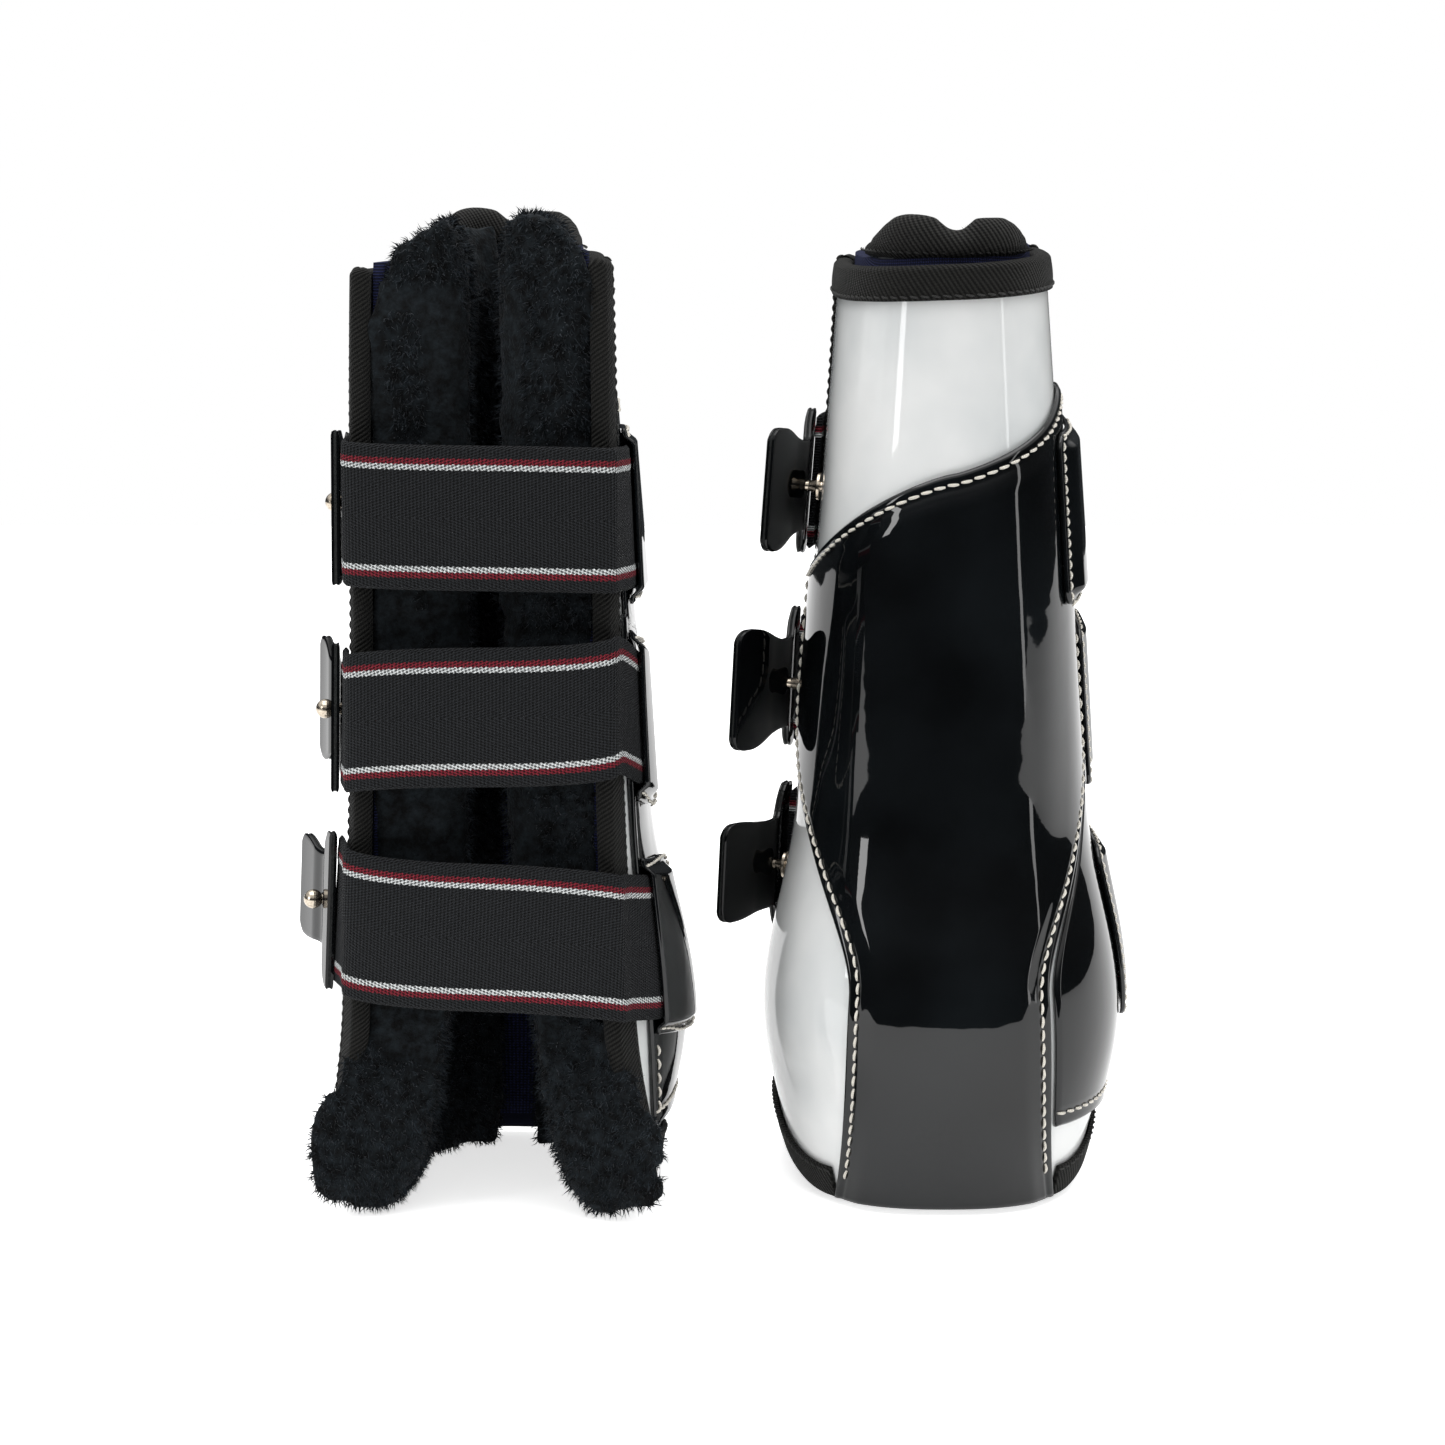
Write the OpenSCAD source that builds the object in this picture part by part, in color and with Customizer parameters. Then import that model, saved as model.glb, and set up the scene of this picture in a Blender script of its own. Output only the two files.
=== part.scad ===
// A pair of tendon boots: open-fronted guards for a horse's lower legs, each with a patent shell,
// a strike strip over the tendon, a fleece liner, elastic straps and ball studs.
// In each boot's own frame the open front faces -Y, the studs are at -X and +Z is up.

/* [Pair] */
// Distance between the centre lines of the two boots
pair_gap = 124; // [116:1:160]
// Turn of the right boot about its own upright line, in degrees
right_turn = -4; // [-8:1:8]
// How far the right boot's front edges are sprung apart at the top, each way
right_spread = 2.5; // [-4:0.5:5]
// How far the left boot's front edges are sprung apart at the top, each way
left_spread = -4; // [-4:0.5:5]

/* [Shell] */
// Height of the shell's top edge above the ground
shell_h = 262; // [215:1:320]
// Half width of the shell at its top, measured half way round the side
top_half_w = 28.5; // [23:0.5:35]
// Growth of the half width for each millimetre down from the top
side_taper = 0.08; // [0.06:0.005:0.1]
// Half width between the front edges at the top
front_half_w = 30.5; // [25:0.5:37]
// Distance from the upright line to the back of the shell
back_depth = 37; // [31:0.5:45]
// Distance from the upright line to the front edges at the top
front_depth = 43; // [36:0.5:50]
// Thickness of the moulded shell with its patent skin
shell_t = 2.4; // [1.8:0.1:3]
// Height of the widest place, over the fetlock
fetlock_z = 57; // [50:1:68]
// Extra half width at the fetlock
fetlock_out = 5.5; // [3:0.5:7]
// Extra depth of the back at the fetlock
fetlock_back = 9; // [5:0.5:11]
// Height of the shell's lower edge above the ground, at the back
hem_z = 3; // [2:0.5:5]
// How much higher the lower edge is at the front corners
hem_rise = 12; // [8:1:16]
// How far the front edges flare out at the ground
foot_flare = 9; // [5:0.5:11]

/* [Patent overlays] */
// Thickness of the black patent pieces
patent_t = 1.4; // [1:0.1:1.8]
// Half angle of the tendon strip at its waist, in degrees round the section
strip_waist = 28; // [24:1:32]
// Height of the strip's upper edge at the lateral side
strip_low_z = 176; // [160:1:180]
// Rise of the strip's upper edge for each degree round towards the medial side
strip_climb = 0.31; // [0.2:0.01:0.34]
// Height of the lower edge of the medial panel
panel_low_z = 24; // [23:1:28]

/* [Straps] */
// Thickness of the woven elastic
elastic_t = 1.8; // [1.4:0.1:2.2]
// Width of the upper strap
upper_strap_w = 39; // [32:0.5:43]
// Width of the middle strap
middle_strap_w = 38; // [32:0.5:43]
// Width of the lower strap
lower_strap_w = 41; // [34:0.5:43]
// How far the elastic bows out between the front edges
strap_bow = 5; // [3:0.5:8]
// How much a pocket is taller than its strap is wide
pocket_margin = 6; // [5:0.5:7]

/* [Closures] */
// Thickness of a leather tab
tab_t = 2.3; // [1.8:0.1:2.8]
// Length of a tab
tab_len = 40; // [36:1:46]
// How much a tab's root is taller than its strap is wide
tab_margin = 3; // [1:0.5:4]
// Height of a tab at its waist
tab_waist = 26; // [22:1:30]
// Radius of a stud's ball
ball_r = 2.7; // [2.3:0.1:3.1]
// Radius of a stud's neck
neck_r = 1.5; // [1.2:0.1:1.8]
// Clearance between a stud's neck and the hole in its tab
hole_gap = 0.35; // [0.2:0.05:0.6]

/* [Liner] */
// Height of the liner's top above the shell's top edge
liner_over = 13; // [9:1:16]
// Thickness of the neoprene core
core_t = 3; // [2:0.5:4]
// Depth of the pile over the tendon
pile_t = 9; // [6:0.5:11]
// Half width of the slot left between the two front lobes
slot_half = 3; // [2.5:0.5:5]
// How much the slot opens at the ground, each way
slot_open = 17; // [12:1:20]
// How far the lobes stand out past the shell's front edges
lobe_nose = 4; // [2:0.5:5]

/* [Bindings] */
// Thickness of the twill tape
tape_t = 1; // [0.7:0.1:1.3]
// Width of the tape on the front edges, as a share of the way round to them
front_tape = 0.07; // [0.05:0.01:0.1]
// Width of the tape along the top edge
top_tape = 9.5; // [7:0.5:12]
// Width of the tape along the lower edge
hem_tape = 8; // [6:0.5:10]

/* [Hidden] */
$fn = 32;
RIGHT = 0;
LEFT = 1;
UPPER = 0;
MIDDLE = 1;
LOWER = 2;

// the section is a superellipse that stops at the front edges
round_power = 0.8;
front_angle = 120;
front_reach = pow(-cos(front_angle), round_power);
front_lean = 0.015;
front_taper = 0.027;
curl_from = 80;
spread_from = 120;
fetlock_reach = 52;
fetlock_back_reach = 75;
hem_tuck = 8;
top_slant = 1.6;
corner_cut = 13;
corner_z = 60;

// the layers, as distances out from the shell's outer face
tape_gap = 0.5;
lap_gap = 0.5;
seam_gap = 0.8;
end_rise = 0.45;
hook_room = 0.8;
pile_gap = 1.3;
lap_out = lap_gap + patent_t;
tail_in = lap_out + lap_gap;
tail_out = tail_in + elastic_t;
pocket_in = tail_out + seam_gap;
end_in = tape_gap + tape_t + end_rise;
core_out = -shell_t - tape_gap - tape_t - hook_room;
core_in = core_out - core_t;
pile_out = core_in - pile_gap;

// straps: widths, then heights of their middles at the tab, at the medial corner and in the pocket
strap_w = [upper_strap_w, middle_strap_w, lower_strap_w];
tab_z = [0.754, 0.534, 0.328] * shell_h;
corner_strap_z = [0.748, 0.557, 0.300] * shell_h;
pocket_z = [0.733, 0.515, 0.271] * shell_h;
pocket_from = [58, 87, 82];
pocket_front = [101, 105, 105];
strap_corner = 1.5;
strap_square = 0.55;
roll_r = elastic_t / 2 + 0.3;
tab_from = -112;
elastic_end = -107;
tail_end = 118;

// tabs and studs
tab_flare = [[3, 4, 2], [7, 11, 7]];
tab_tip = [35, 35, 29];
tab_dip = 1.2;
stud_at = 0.4 * tab_len;
tab_seat = end_in + elastic_t + seam_gap;
flange_r = 4;
flange_t = 1;
washer_r = 5;

liner_top = shell_h + liner_over;
strip_wing = 93;
wing_from_z = pocket_z[MIDDLE] + middle_strap_w / 2 + 4.5;
wing_full_z = wing_from_z + 10;

// ---- smooth steps ----

function mix(a, b, s) = a + (b - a) * s;
function steps(a, b, n) = [for (i = [0 : n]) mix(a, b, i / n)];
function below(v, drops) = [for (drop = drops) v - drop];
function reversed(list) = [for (i = [len(list) - 1 : -1 : 0]) list[i]];
function blend(v, a, b) =
    let (s = min(1, max(0, (v - a) / (b - a))))
    s * s * (3 - 2 * s);
function bump(v, mid, reach) = abs(v - mid) < reach ? pow(cos(90 * (v - mid) / reach), 2) : 0;

// ---- the boot's section at height z, by the angle round it: 0 at the back, + on the medial side ----

function half_w(z) =
    top_half_w + side_taper * (shell_h - z)
    + fetlock_out * bump(z, fetlock_z, fetlock_reach)
    - hem_tuck * pow(max(0, 1 - z / fetlock_z), 2);
function back_y(z) = back_depth + fetlock_back * bump(z, fetlock_z - 10, fetlock_back_reach);
function front_y(z) = front_depth + front_lean * (shell_h - z);
function half_d(z) = (back_y(z) + front_y(z)) / (1 + front_reach);
function edge_x(z, boot) =
    front_half_w + front_taper * (shell_h - z)
    + foot_flare * pow(max(0, 1 - z / corner_z), 2)
    + (boot == RIGHT ? right_spread : left_spread) * blend(z, spread_from, shell_h);
function around(angle) = sign(sin(angle)) * pow(abs(sin(angle)), round_power);
function along(angle) = sign(cos(angle)) * pow(abs(cos(angle)), round_power);
function section(angle, z, boot) =
    let (curl = edge_x(z, boot) - around(front_angle) * half_w(z))
    [
        around(angle) * half_w(z) + sign(angle) * curl * blend(abs(angle), curl_from, front_angle),
        back_y(z) - half_d(z) * (1 - along(angle))
    ];
function outward(angle, z, boot) =
    let (run = section(angle + 0.5, z, boot) - section(angle - 0.5, z, boot))
    [-run.y, run.x] / norm(run);
function wall(angle, z, out, boot) =
    let (p = section(angle, z, boot) + out * outward(angle, z, boot))
    [p.x, p.y, z];

function front_edge(z) = front_angle - corner_cut * pow(max(0, 1 - z / corner_z), 2);
function hem(angle) = hem_z + hem_rise * blend(abs(angle), 50, front_angle);
function top(angle) = shell_h + top_slant * sin(angle);

// a place on the shell: u runs -1 to 1 between the front edges, and rise is the height above the hem
// as a share of the shell's height there
function shell_z(u, rise) = mix(hem(u * front_angle), top(u * front_angle), rise);
function shell_at(u, rise, out, boot) =
    let (z = shell_z(u, rise))
    wall(u * front_edge(z), z, out, boot);

hem_share = hem_tape / shell_h;
top_share = 1 - top_tape / shell_h;
U_LINES = concat([-1], steps(-1 + front_tape, 1 - front_tape, 22), [1]);
RISE_LINES = concat([0], steps(hem_share, top_share, 12), [1]);

// ---- solids from grids of points ----

// A sheet between two grids of points, each a list of rows. Seen from outside, the rows go from right
// to left and each row's points go up.
module sheet(outer, inner) {
    n = len(outer[0]);
    m = len(outer);
    far = n * m;
    points = concat([for (row = outer) each row], [for (row = inner) each row]);
    skins = [
        for (i = [0 : m - 2]) for (k = [0 : n - 2])
            let (a = i * n + k, b = a + n, c = b + 1, d = a + 1)
            each [[a, b, c], [a, c, d], [far + a, far + c, far + b], [far + a, far + d, far + c]]
    ];
    rims = [
        for (i = [0 : m - 2])
            let (low = i * n, high = low + n - 1)
            each [
                [low, far + low, far + low + n], [low, far + low + n, low + n],
                [high, high + n, far + high + n], [high, far + high + n, far + high]
            ]
    ];
    ends = [
        for (k = [0 : n - 2])
            let (first = k, last = (m - 1) * n + k)
            each [
                [first, first + 1, far + first + 1], [first, far + first + 1, far + first],
                [last, far + last + 1, last + 1], [last, far + last, far + last + 1]
            ]
    ];
    polyhedron(points, concat(skins, rims, ends));
}

// Puts a piece made in a boot's own frame into its place in the pair
module place(boot) {
    if (boot == RIGHT)
        translate([-pair_gap / 2, 0, 0])
            rotate([0, 0, right_turn])
                children();
    else
        translate([pair_gap / 2, 0, 0])
            mirror([0, 1, 0])
                children();
}

// ---- shell ----

module shell(boot) {
    outer = [for (u = U_LINES) [for (rise = RISE_LINES) shell_at(u, rise, 0, boot)]];
    inner = [for (u = U_LINES) [for (rise = RISE_LINES) shell_at(u, rise, -shell_t, boot)]];
    color("#E6E7E6") place(boot) sheet(outer, inner);
}

// ---- patent overlays ----

// The strip is waisted between its foot and its side wings. All of these are degrees round the section
// or heights above the fetlock.
strip_foot = 14;
wing_low = 5;
lateral_wing_high = 88;
medial_wing_high = 78;
medial_wing = 53;
// its upper edge climbs in a slight arch, and falls again round the medial side
strip_arch = 4;
strip_arch_at = -20;
strip_arch_reach = 80;
strip_fall = 0.008;
strip_fall_from = 68;

// half angle of the strip at height z on the lateral side, then on the medial side
function strip_spread(z) = strip_foot * pow(max(0, 1 - z / fetlock_z), 2);
function strip_lateral(z) =
    strip_waist - 1 + strip_spread(z)
    + (strip_wing - strip_waist) * blend(z, fetlock_z + wing_low, fetlock_z + lateral_wing_high);
function strip_medial(z) =
    strip_waist + 1 + strip_spread(z)
    + medial_wing * blend(z, fetlock_z + wing_low, fetlock_z + medial_wing_high)
    + (pocket_front[UPPER] - strip_waist - 1 - medial_wing) * blend(z, wing_from_z, wing_full_z);
function strip_top(angle) =
    strip_low_z + strip_climb * (angle + 90) + strip_arch * bump(angle, strip_arch_at, strip_arch_reach)
    - strip_fall * pow(max(0, angle - strip_fall_from), 2);
function strip_at(s, rise, out, boot) =
    let (
        low = hem_z - 1,
        left_z = mix(low, strip_top(-strip_wing), rise),
        right_z = mix(low, strip_top(pocket_front[UPPER]), rise),
        angle = mix(-strip_lateral(left_z), strip_medial(right_z), s),
        top_angle = mix(-strip_wing, pocket_front[UPPER], s)
    )
    wall(angle, mix(low, strip_top(top_angle), rise), out, boot);

// the strip's lines come closer together where its medial wing widens
strip_medial_top = strip_top(pocket_front[UPPER]);
wing_rises = [(wing_from_z - hem_z) / strip_medial_top, (wing_full_z + hem_z) / strip_medial_top];
STRIP_RISES = concat(
    steps(0, wing_rises[0] - 0.03, 12),
    steps(wing_rises[0], wing_rises[1], 4),
    steps(wing_rises[1] + 0.07, 1, 3)
);

module tendon_strip(boot) {
    across = steps(0, 1, 18);
    up = STRIP_RISES;
    outer = [for (s = across) [for (rise = up) strip_at(s, rise, lap_out, boot)]];
    inner = [for (s = across) [for (rise = up) strip_at(s, rise, lap_gap, boot)]];
    color("#14171A") place(boot) sheet(outer, inner);
}

panel_gap = 2;
function panel_at(s, z, out, boot) =
    wall(mix(strip_medial(z) + panel_gap, pocket_front[LOWER], s), z, out, boot);

module medial_panel(boot) {
    across = steps(0, 1, 9);
    up = concat(
        steps(panel_low_z, wing_from_z - panel_gap, 12),
        steps(wing_from_z, wing_full_z, 4)
    );
    outer = [for (s = across) [for (z = up) panel_at(s, z, lap_out, boot)]];
    inner = [for (s = across) [for (z = up) panel_at(s, z, lap_gap, boot)]];
    color("#101316") place(boot) sheet(outer, inner);
}

// The middle of a strap's sewn end, which slants from its pocket to the medial corner
function tail_mid(i, angle) =
    let (share = (angle - pocket_from[i]) / (front_angle - pocket_from[i]))
    mix(pocket_z[i], corner_strap_z[i], share);

// A pocket is a patch that swells over the sewn end of its strap and is open towards the front
pocket_round = 5;
pocket_hem = 1.5;
function pocket_out(i, angle, drop) =
    lap_out + lap_gap
    + (pocket_in - lap_out - lap_gap)
    * blend(angle, pocket_from[i], pocket_from[i] + pocket_round)
    * blend(abs(drop), (strap_w[i] + pocket_margin) / 2, strap_w[i] / 2);

function pocket_at(i, angle, drop, over, boot) =
    wall(angle, tail_mid(i, angle) + drop, pocket_out(i, angle, drop) + over, boot);

module pocket(boot, i) {
    half = (strap_w[i] + pocket_margin) / 2;
    angles = concat(
        [pocket_from[i] - 2],
        steps(pocket_from[i], pocket_from[i] + pocket_round, 2),
        steps(pocket_from[i] + pocket_round + 4, pocket_front[i] - 1, 3)
    );
    high = concat([0], steps(strap_w[i] / 2, half, 2), [half + pocket_hem]);
    drops = concat(-reversed(high), [for (k = [1 : len(high) - 1]) high[k]]);
    color("#191C20") place(boot) sheet(
        [for (a = angles) [for (d = drops) pocket_at(i, a, d, patent_t, boot)]],
        [for (a = angles) [for (d = drops) pocket_at(i, a, d, 0, boot)]]
    );
}

// ---- twill bindings, folded over the shell's edges ----

tape_out = tape_gap + tape_t;
// the fold in a plane across the edge: distance past the edge, then distance out from the shell's face
FOLD_OUTER = [[0, tape_out], [tape_out * 0.8, tape_gap], [tape_out, -shell_t / 2],
    [tape_out * 0.8, -shell_t - tape_gap], [0, -shell_t - tape_out]];
FOLD_INNER = [[0, tape_gap], [tape_gap, 0], [tape_gap, -shell_t / 2],
    [tape_gap, -shell_t], [0, -shell_t - tape_gap]];

function past_front(side, rise, past, out, boot) =
    let (
        edge = shell_at(side, rise, out, boot),
        n = outward(side * front_edge(edge.z), edge.z, boot)
    )
    edge + past * side * [n.y, -n.x, 0];
function front_row(side, rise, fold, leg, boot) = concat(
    [shell_at(side * (1 - front_tape), rise, leg[0], boot)],
    [for (p = fold) past_front(side, rise, p[0], p[1], boot)],
    [shell_at(side * (1 - front_tape), rise, leg[1], boot)]
);
LEG_OUTER = [tape_out, -shell_t - tape_out];
LEG_INNER = [tape_gap, -shell_t - tape_gap];

module front_binding(boot, side) {
    up = side > 0 ? RISE_LINES : [for (i = [len(RISE_LINES) - 1 : -1 : 0]) RISE_LINES[i]];
    color("#2A2A27") place(boot) sheet(
        [for (rise = up) front_row(side, rise, FOLD_OUTER, LEG_OUTER, boot)],
        [for (rise = up) front_row(side, rise, FOLD_INNER, LEG_INNER, boot)]
    );
}

// the other tapes stop short of the ones on the front edges
tape_reach = 1 - front_tape - 0.008;
hem_end_gap = 4;

function edge_row(u, rise, leg_rise, way, fold, leg, boot) = concat(
    [shell_at(u, leg_rise, leg[0], boot)],
    [for (p = fold) shell_at(u, rise, p[1], boot) + [0, 0, way * p[0]]],
    [shell_at(u, leg_rise, leg[1], boot)]
);

module top_binding(boot) {
    reach = tape_reach;
    us = concat([-reach], [for (i = [2 : len(U_LINES) - 3]) U_LINES[i]], [reach]);
    color("#2A2A27") place(boot) sheet(
        [for (u = us) edge_row(u, 1, top_share, 1, FOLD_OUTER, LEG_OUTER, boot)],
        [for (u = us) edge_row(u, 1, top_share, 1, FOLD_INNER, LEG_INNER, boot)]
    );
}

module hem_binding(boot, side) {
    near = (side > 0 ? strip_medial(hem_z) : strip_lateral(hem_z)) + hem_end_gap;
    start = near / front_angle;
    us = steps(side * tape_reach, side * start, 8);
    color("#2A2A27") place(boot) sheet(
        [for (u = side < 0 ? reversed(us) : us) edge_row(u, 0, hem_share, -1, FOLD_OUTER, LEG_OUTER, boot)],
        [for (u = side < 0 ? reversed(us) : us) edge_row(u, 0, hem_share, -1, FOLD_INNER, LEG_INNER, boot)]
    );
}

// ---- liner ----

// The core stops just inside the shell's edges, but stands a little above its top
core_reach = 0.985;
core_foot = 0.02;
core_head = 0.998;
core_over = 4;
function core_lift(rise) = core_over * blend(rise, 0.9, 1);

module liner_core(boot) {
    us = steps(-core_reach, core_reach, 22);
    up = steps(core_foot, core_head, 10);
    color("#1D2138") place(boot) sheet(
        [for (u = us) [for (rise = up) shell_at(u, rise, core_out, boot) + [0, 0, core_lift(rise)]]],
        [for (u = us) [for (rise = up) shell_at(u, rise, core_in, boot) + [0, 0, core_lift(rise)]]]
    );
}

// The padded twill roll that tops the liner at the back, with a dip over the tendon
collar_reach = 78;
collar_low = shell_h + 5;
collar_gap = 0.8;
collar_dip = 3;
collar_dip_reach = 14;
collar_fall = 2;
collar_fall_from = 50;
// how far up the roll each line is, and how far its outer face swells there
COLLAR_RISES = [0, 0.35, 0.75, 1];
COLLAR_SWELL = [0, 0.6, 0.2, -1.2];
function collar_top(angle) =
    liner_top - collar_gap
    - collar_dip * bump(angle, 0, collar_dip_reach)
    - collar_fall * blend(abs(angle), collar_fall_from, collar_reach);
function collar_at(angle, k, out, boot) =
    at_height(angle, mix(collar_low, collar_top(angle), COLLAR_RISES[k]), out, boot);

module liner_collar(boot) {
    angles = steps(-collar_reach, collar_reach, 18);
    lines = [0 : len(COLLAR_RISES) - 1];
    color("#22221F") place(boot) sheet(
        [for (a = angles) [for (k = lines) collar_at(a, k, core_out + COLLAR_SWELL[k], boot)]],
        [for (a = angles) [for (k = lines) collar_at(a, k, core_in, boot)]]
    );
}

// above the shell the liner keeps the section of the shell's top
function at_height(angle, z, out, boot) =
    let (p = wall(angle, min(z, shell_h), out, boot))
    [p.x, p.y, z];

// Depth of the pile inwards from the core. It thickens into a lobe towards the front edge.
lobe_from = 76;
lobe_full = 112;
slot_power = 1.6;
function slot(z) = slot_half + slot_open * pow(max(0, 1 - z / (2 * fetlock_z)), slot_power);
function lobe_t(z, boot) = edge_x(min(z, shell_h), boot) + pile_out - slot(z);
function pile_depth(angle, z, boot) =
    mix(pile_t, lobe_t(z, boot), blend(abs(angle), lobe_from, lobe_full));
// how much the lobes draw in at their ends, where they are domed
top_dome = 16;
foot_dome = 26;
top_full = 0.35;
foot_full = 0.5;
function fullness(z) =
    let (
        down = min(1, (liner_top - z) / top_dome),
        up = min(1, z / foot_dome)
    )
    mix(top_full, 1, sqrt(1 - pow(1 - down, 2))) * mix(foot_full, 1, sqrt(1 - pow(1 - up, 2)));

// one row of the pile: its angle, how far it stands forward of the front edge and its share of the depth
nose_angles = [20, 45, 70];
function pile_row(side, angle, ahead, share, face, heights, boot) = [
    for (z = heights)
        let (
            depth = pile_depth(angle, z, boot),
            full = share * fullness(z),
            out = pile_out - depth * (0.5 - 0.5 * face * full),
            p = at_height(side * angle, z, out, boot)
        )
        p - [0, ahead * fullness(z), 0]
];

module pile(boot, side) {
    heights = concat([0, 4, 12], steps(foot_dome, liner_top - top_dome, 8), below(liner_top, [9, 3.5, 0]));
    back_rows = [for (a = steps(3, front_angle - 3, 13)) [a, 0, 1]];
    nose_rows = [for (a = reversed(nose_angles)) [front_angle - 2, lobe_nose * cos(a), sin(a)]];
    rows = concat(back_rows, nose_rows);
    ordered = side > 0 ? rows : reversed(rows);
    color("#0C0F12") place(boot) sheet(
        [for (r = ordered) pile_row(side, r[0], r[1], r[2], 1, heights, boot)],
        [for (r = ordered) pile_row(side, r[0], r[1], r[2], -1, heights, boot)]
    );
}

// Hook tape on the inside of the shell, which holds the liner
hook_t = 0.7;
hook_gap = 0.3;
hook_at = 62;
hook_half = 8;
hook_low = 70;
hook_high = 0.72;

module hook_strips(boot) {
    out = -shell_t - hook_gap;
    up = steps(hook_low, hook_high * shell_h, 6);
    color("#151515") place(boot)
        for (side = [-1, 1])
            let (angles = steps(side * hook_at - hook_half, side * hook_at + hook_half, 2))
                sheet(
                    [for (a = angles) [for (z = up) wall(a, z, out, boot)]],
                    [for (a = angles) [for (z = up) wall(a, z, out - hook_t, boot)]]
                );
}

// ---- elastic straps ----

// A strap's place at height z: t from 0 at its hinge to 1 at the lateral corner, then on to 2 at its end
function strap_plan(t, z, out, boot) =
    t <= 1
    ? let (
        turn = mix(90, -90, t),
        right = wall(front_angle, z, out, boot),
        left = wall(-front_angle, z, out - (tail_in - end_in), boot),
        middle = (right.x + left.x) / 2,
        half = (right.x - left.x) / 2
    )
    [
        middle + half * sign(turn) * pow(abs(sin(turn)), strap_square),
        mix(right.y, left.y, t) - strap_corner - (strap_bow + out - tail_in) * pow(cos(turn), strap_square),
        z
    ]
    : wall(mix(-front_angle, elastic_end, t - 1), z, out - (tail_in - end_in), boot)
        - [0, strap_corner * (2 - t), 0];
function strap_mid_z(i, t) = mix(corner_strap_z[i], tab_z[i], min(1, t));
function strap_row(i, t, out, boot) =
    let (
        mid = strap_mid_z(i, t),
        low = strap_plan(t, mid - strap_w[i] / 2, out, boot),
        high = strap_plan(t, mid + strap_w[i] / 2, out, boot)
    )
    [for (s = [0, 0.5, 1]) mix(low, high, s)];
function hinge_point(i, share, boot) =
    strap_plan(0, corner_strap_z[i] + (share - 0.5) * strap_w[i], tail_in + elastic_t / 2, boot);

module strap(boot, i) {
    low = hinge_point(i, 0, boot);
    high = hinge_point(i, 1, boot);
    run = high - low;
    ts = concat(steps(0.004, 0.2, 8), steps(0.25, 0.75, 6), steps(0.8, 1, 8), steps(1.3, 2, 3));
    color("#1E1D1B") place(boot) union() {
        sheet(
            [for (t = ts) strap_row(i, t, tail_out, boot)],
            [for (t = ts) strap_row(i, t, tail_in, boot)]
        );
        translate(low)
            rotate([0, acos(run.z / norm(run)), atan2(run.y, run.x)])
                cylinder(h = norm(run), r = roll_r);
    }
}

// The end of the elastic that is sewn down inside its pocket
function tail_row(i, angle, out, boot) =
    [for (s = [-0.5, 0, 0.5]) wall(angle, tail_mid(i, angle) + s * strap_w[i], out, boot)];

module strap_tail(boot, i) {
    angles = steps(pocket_from[i] + pocket_round + 1, tail_end, 8);
    color("#1E1D1B") place(boot) sheet(
        [for (a = angles) tail_row(i, a, tail_out, boot)],
        [for (a = angles) tail_row(i, a, tail_in, boot)]
    );
}

// ---- tabs and studs ----

// Puts a piece in a tab's frame: its root at the origin, its length along +Y and outwards along -X
module at_tab(boot, i) {
    root = wall(tab_from, tab_z[i], tab_seat, boot);
    back = wall(tab_from + 14, tab_z[i], tab_seat, boot);
    low = wall(tab_from, tab_z[i] - strap_w[i] / 2, tab_seat, boot);
    high = wall(tab_from, tab_z[i] + strap_w[i] / 2, tab_seat, boot);
    lean = atan2(high.x - low.x, high.z - low.z);
    slope = atan2(root.x - back.x, back.y - root.y);
    place(boot)
        translate(root)
            rotate([0, lean, 0])
                rotate([0, 0, slope])
                    children();
}

// A tab flares away from the boot towards its tip, but is pressed down at its stud. It is waisted between
// its root and its tip, and its corners are round.
flare_power = 2.4;
dip_reach = 9;
waist_from = 4;
waist_to = 14;
tip_from = 18;
tip_to = 0.85 * tab_len;
tip_round = 4;
function tab_rise(boot, i, y) =
    tab_flare[boot][i] * pow(y / tab_len, flare_power) - tab_dip * bump(y, stud_at, dip_reach);
function tab_half(i, y) =
    let (
        root = (strap_w[i] + tab_margin) / 2,
        shaped = root - (root - tab_waist / 2) * blend(y, waist_from, waist_to)
            + (tab_tip[i] - tab_waist) / 2 * blend(y, tip_from, tip_to),
        left = min(1, (tab_len - y) / tip_round)
    )
    shaped - tip_round * (1 - sqrt(1 - pow(1 - left, 2)));

module tab(boot, i) {
    ys = concat(steps(0, tab_len - tip_round, 18), below(tab_len, [2.4, 1, 0.3, 0]));
    plan = concat(
        [for (y = ys) [-tab_rise(boot, i, y), y]],
        [for (y = reversed(ys)) [-tab_rise(boot, i, y) - tab_t, y]]
    );
    outline = concat(
        [for (y = ys) [y, tab_half(i, y)]],
        [for (y = reversed(ys)) [y, -tab_half(i, y)]]
    );
    tallest = strap_w[i] + 2 * tab_margin;
    color("#111213") at_tab(boot, i) difference() {
        intersection() {
            linear_extrude(tallest, center = true)
                polygon(plan);
            rotate([90, 0, 90])
                linear_extrude(tab_len, center = true)
                    polygon(outline);
        }
        translate([0, stud_at, 0])
            rotate([0, 90, 0])
                cylinder(h = tab_len, r = neck_r + hole_gap, center = true);
    }
}

// Distances along a stud from the tab's seat, outwards
function stud_neck(boot, i) = tab_rise(boot, i, stud_at) + tab_t + 0.35;
function ball_centre(boot, i) = stud_neck(boot, i) + sqrt(ball_r * ball_r - neck_r * neck_r);

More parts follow.
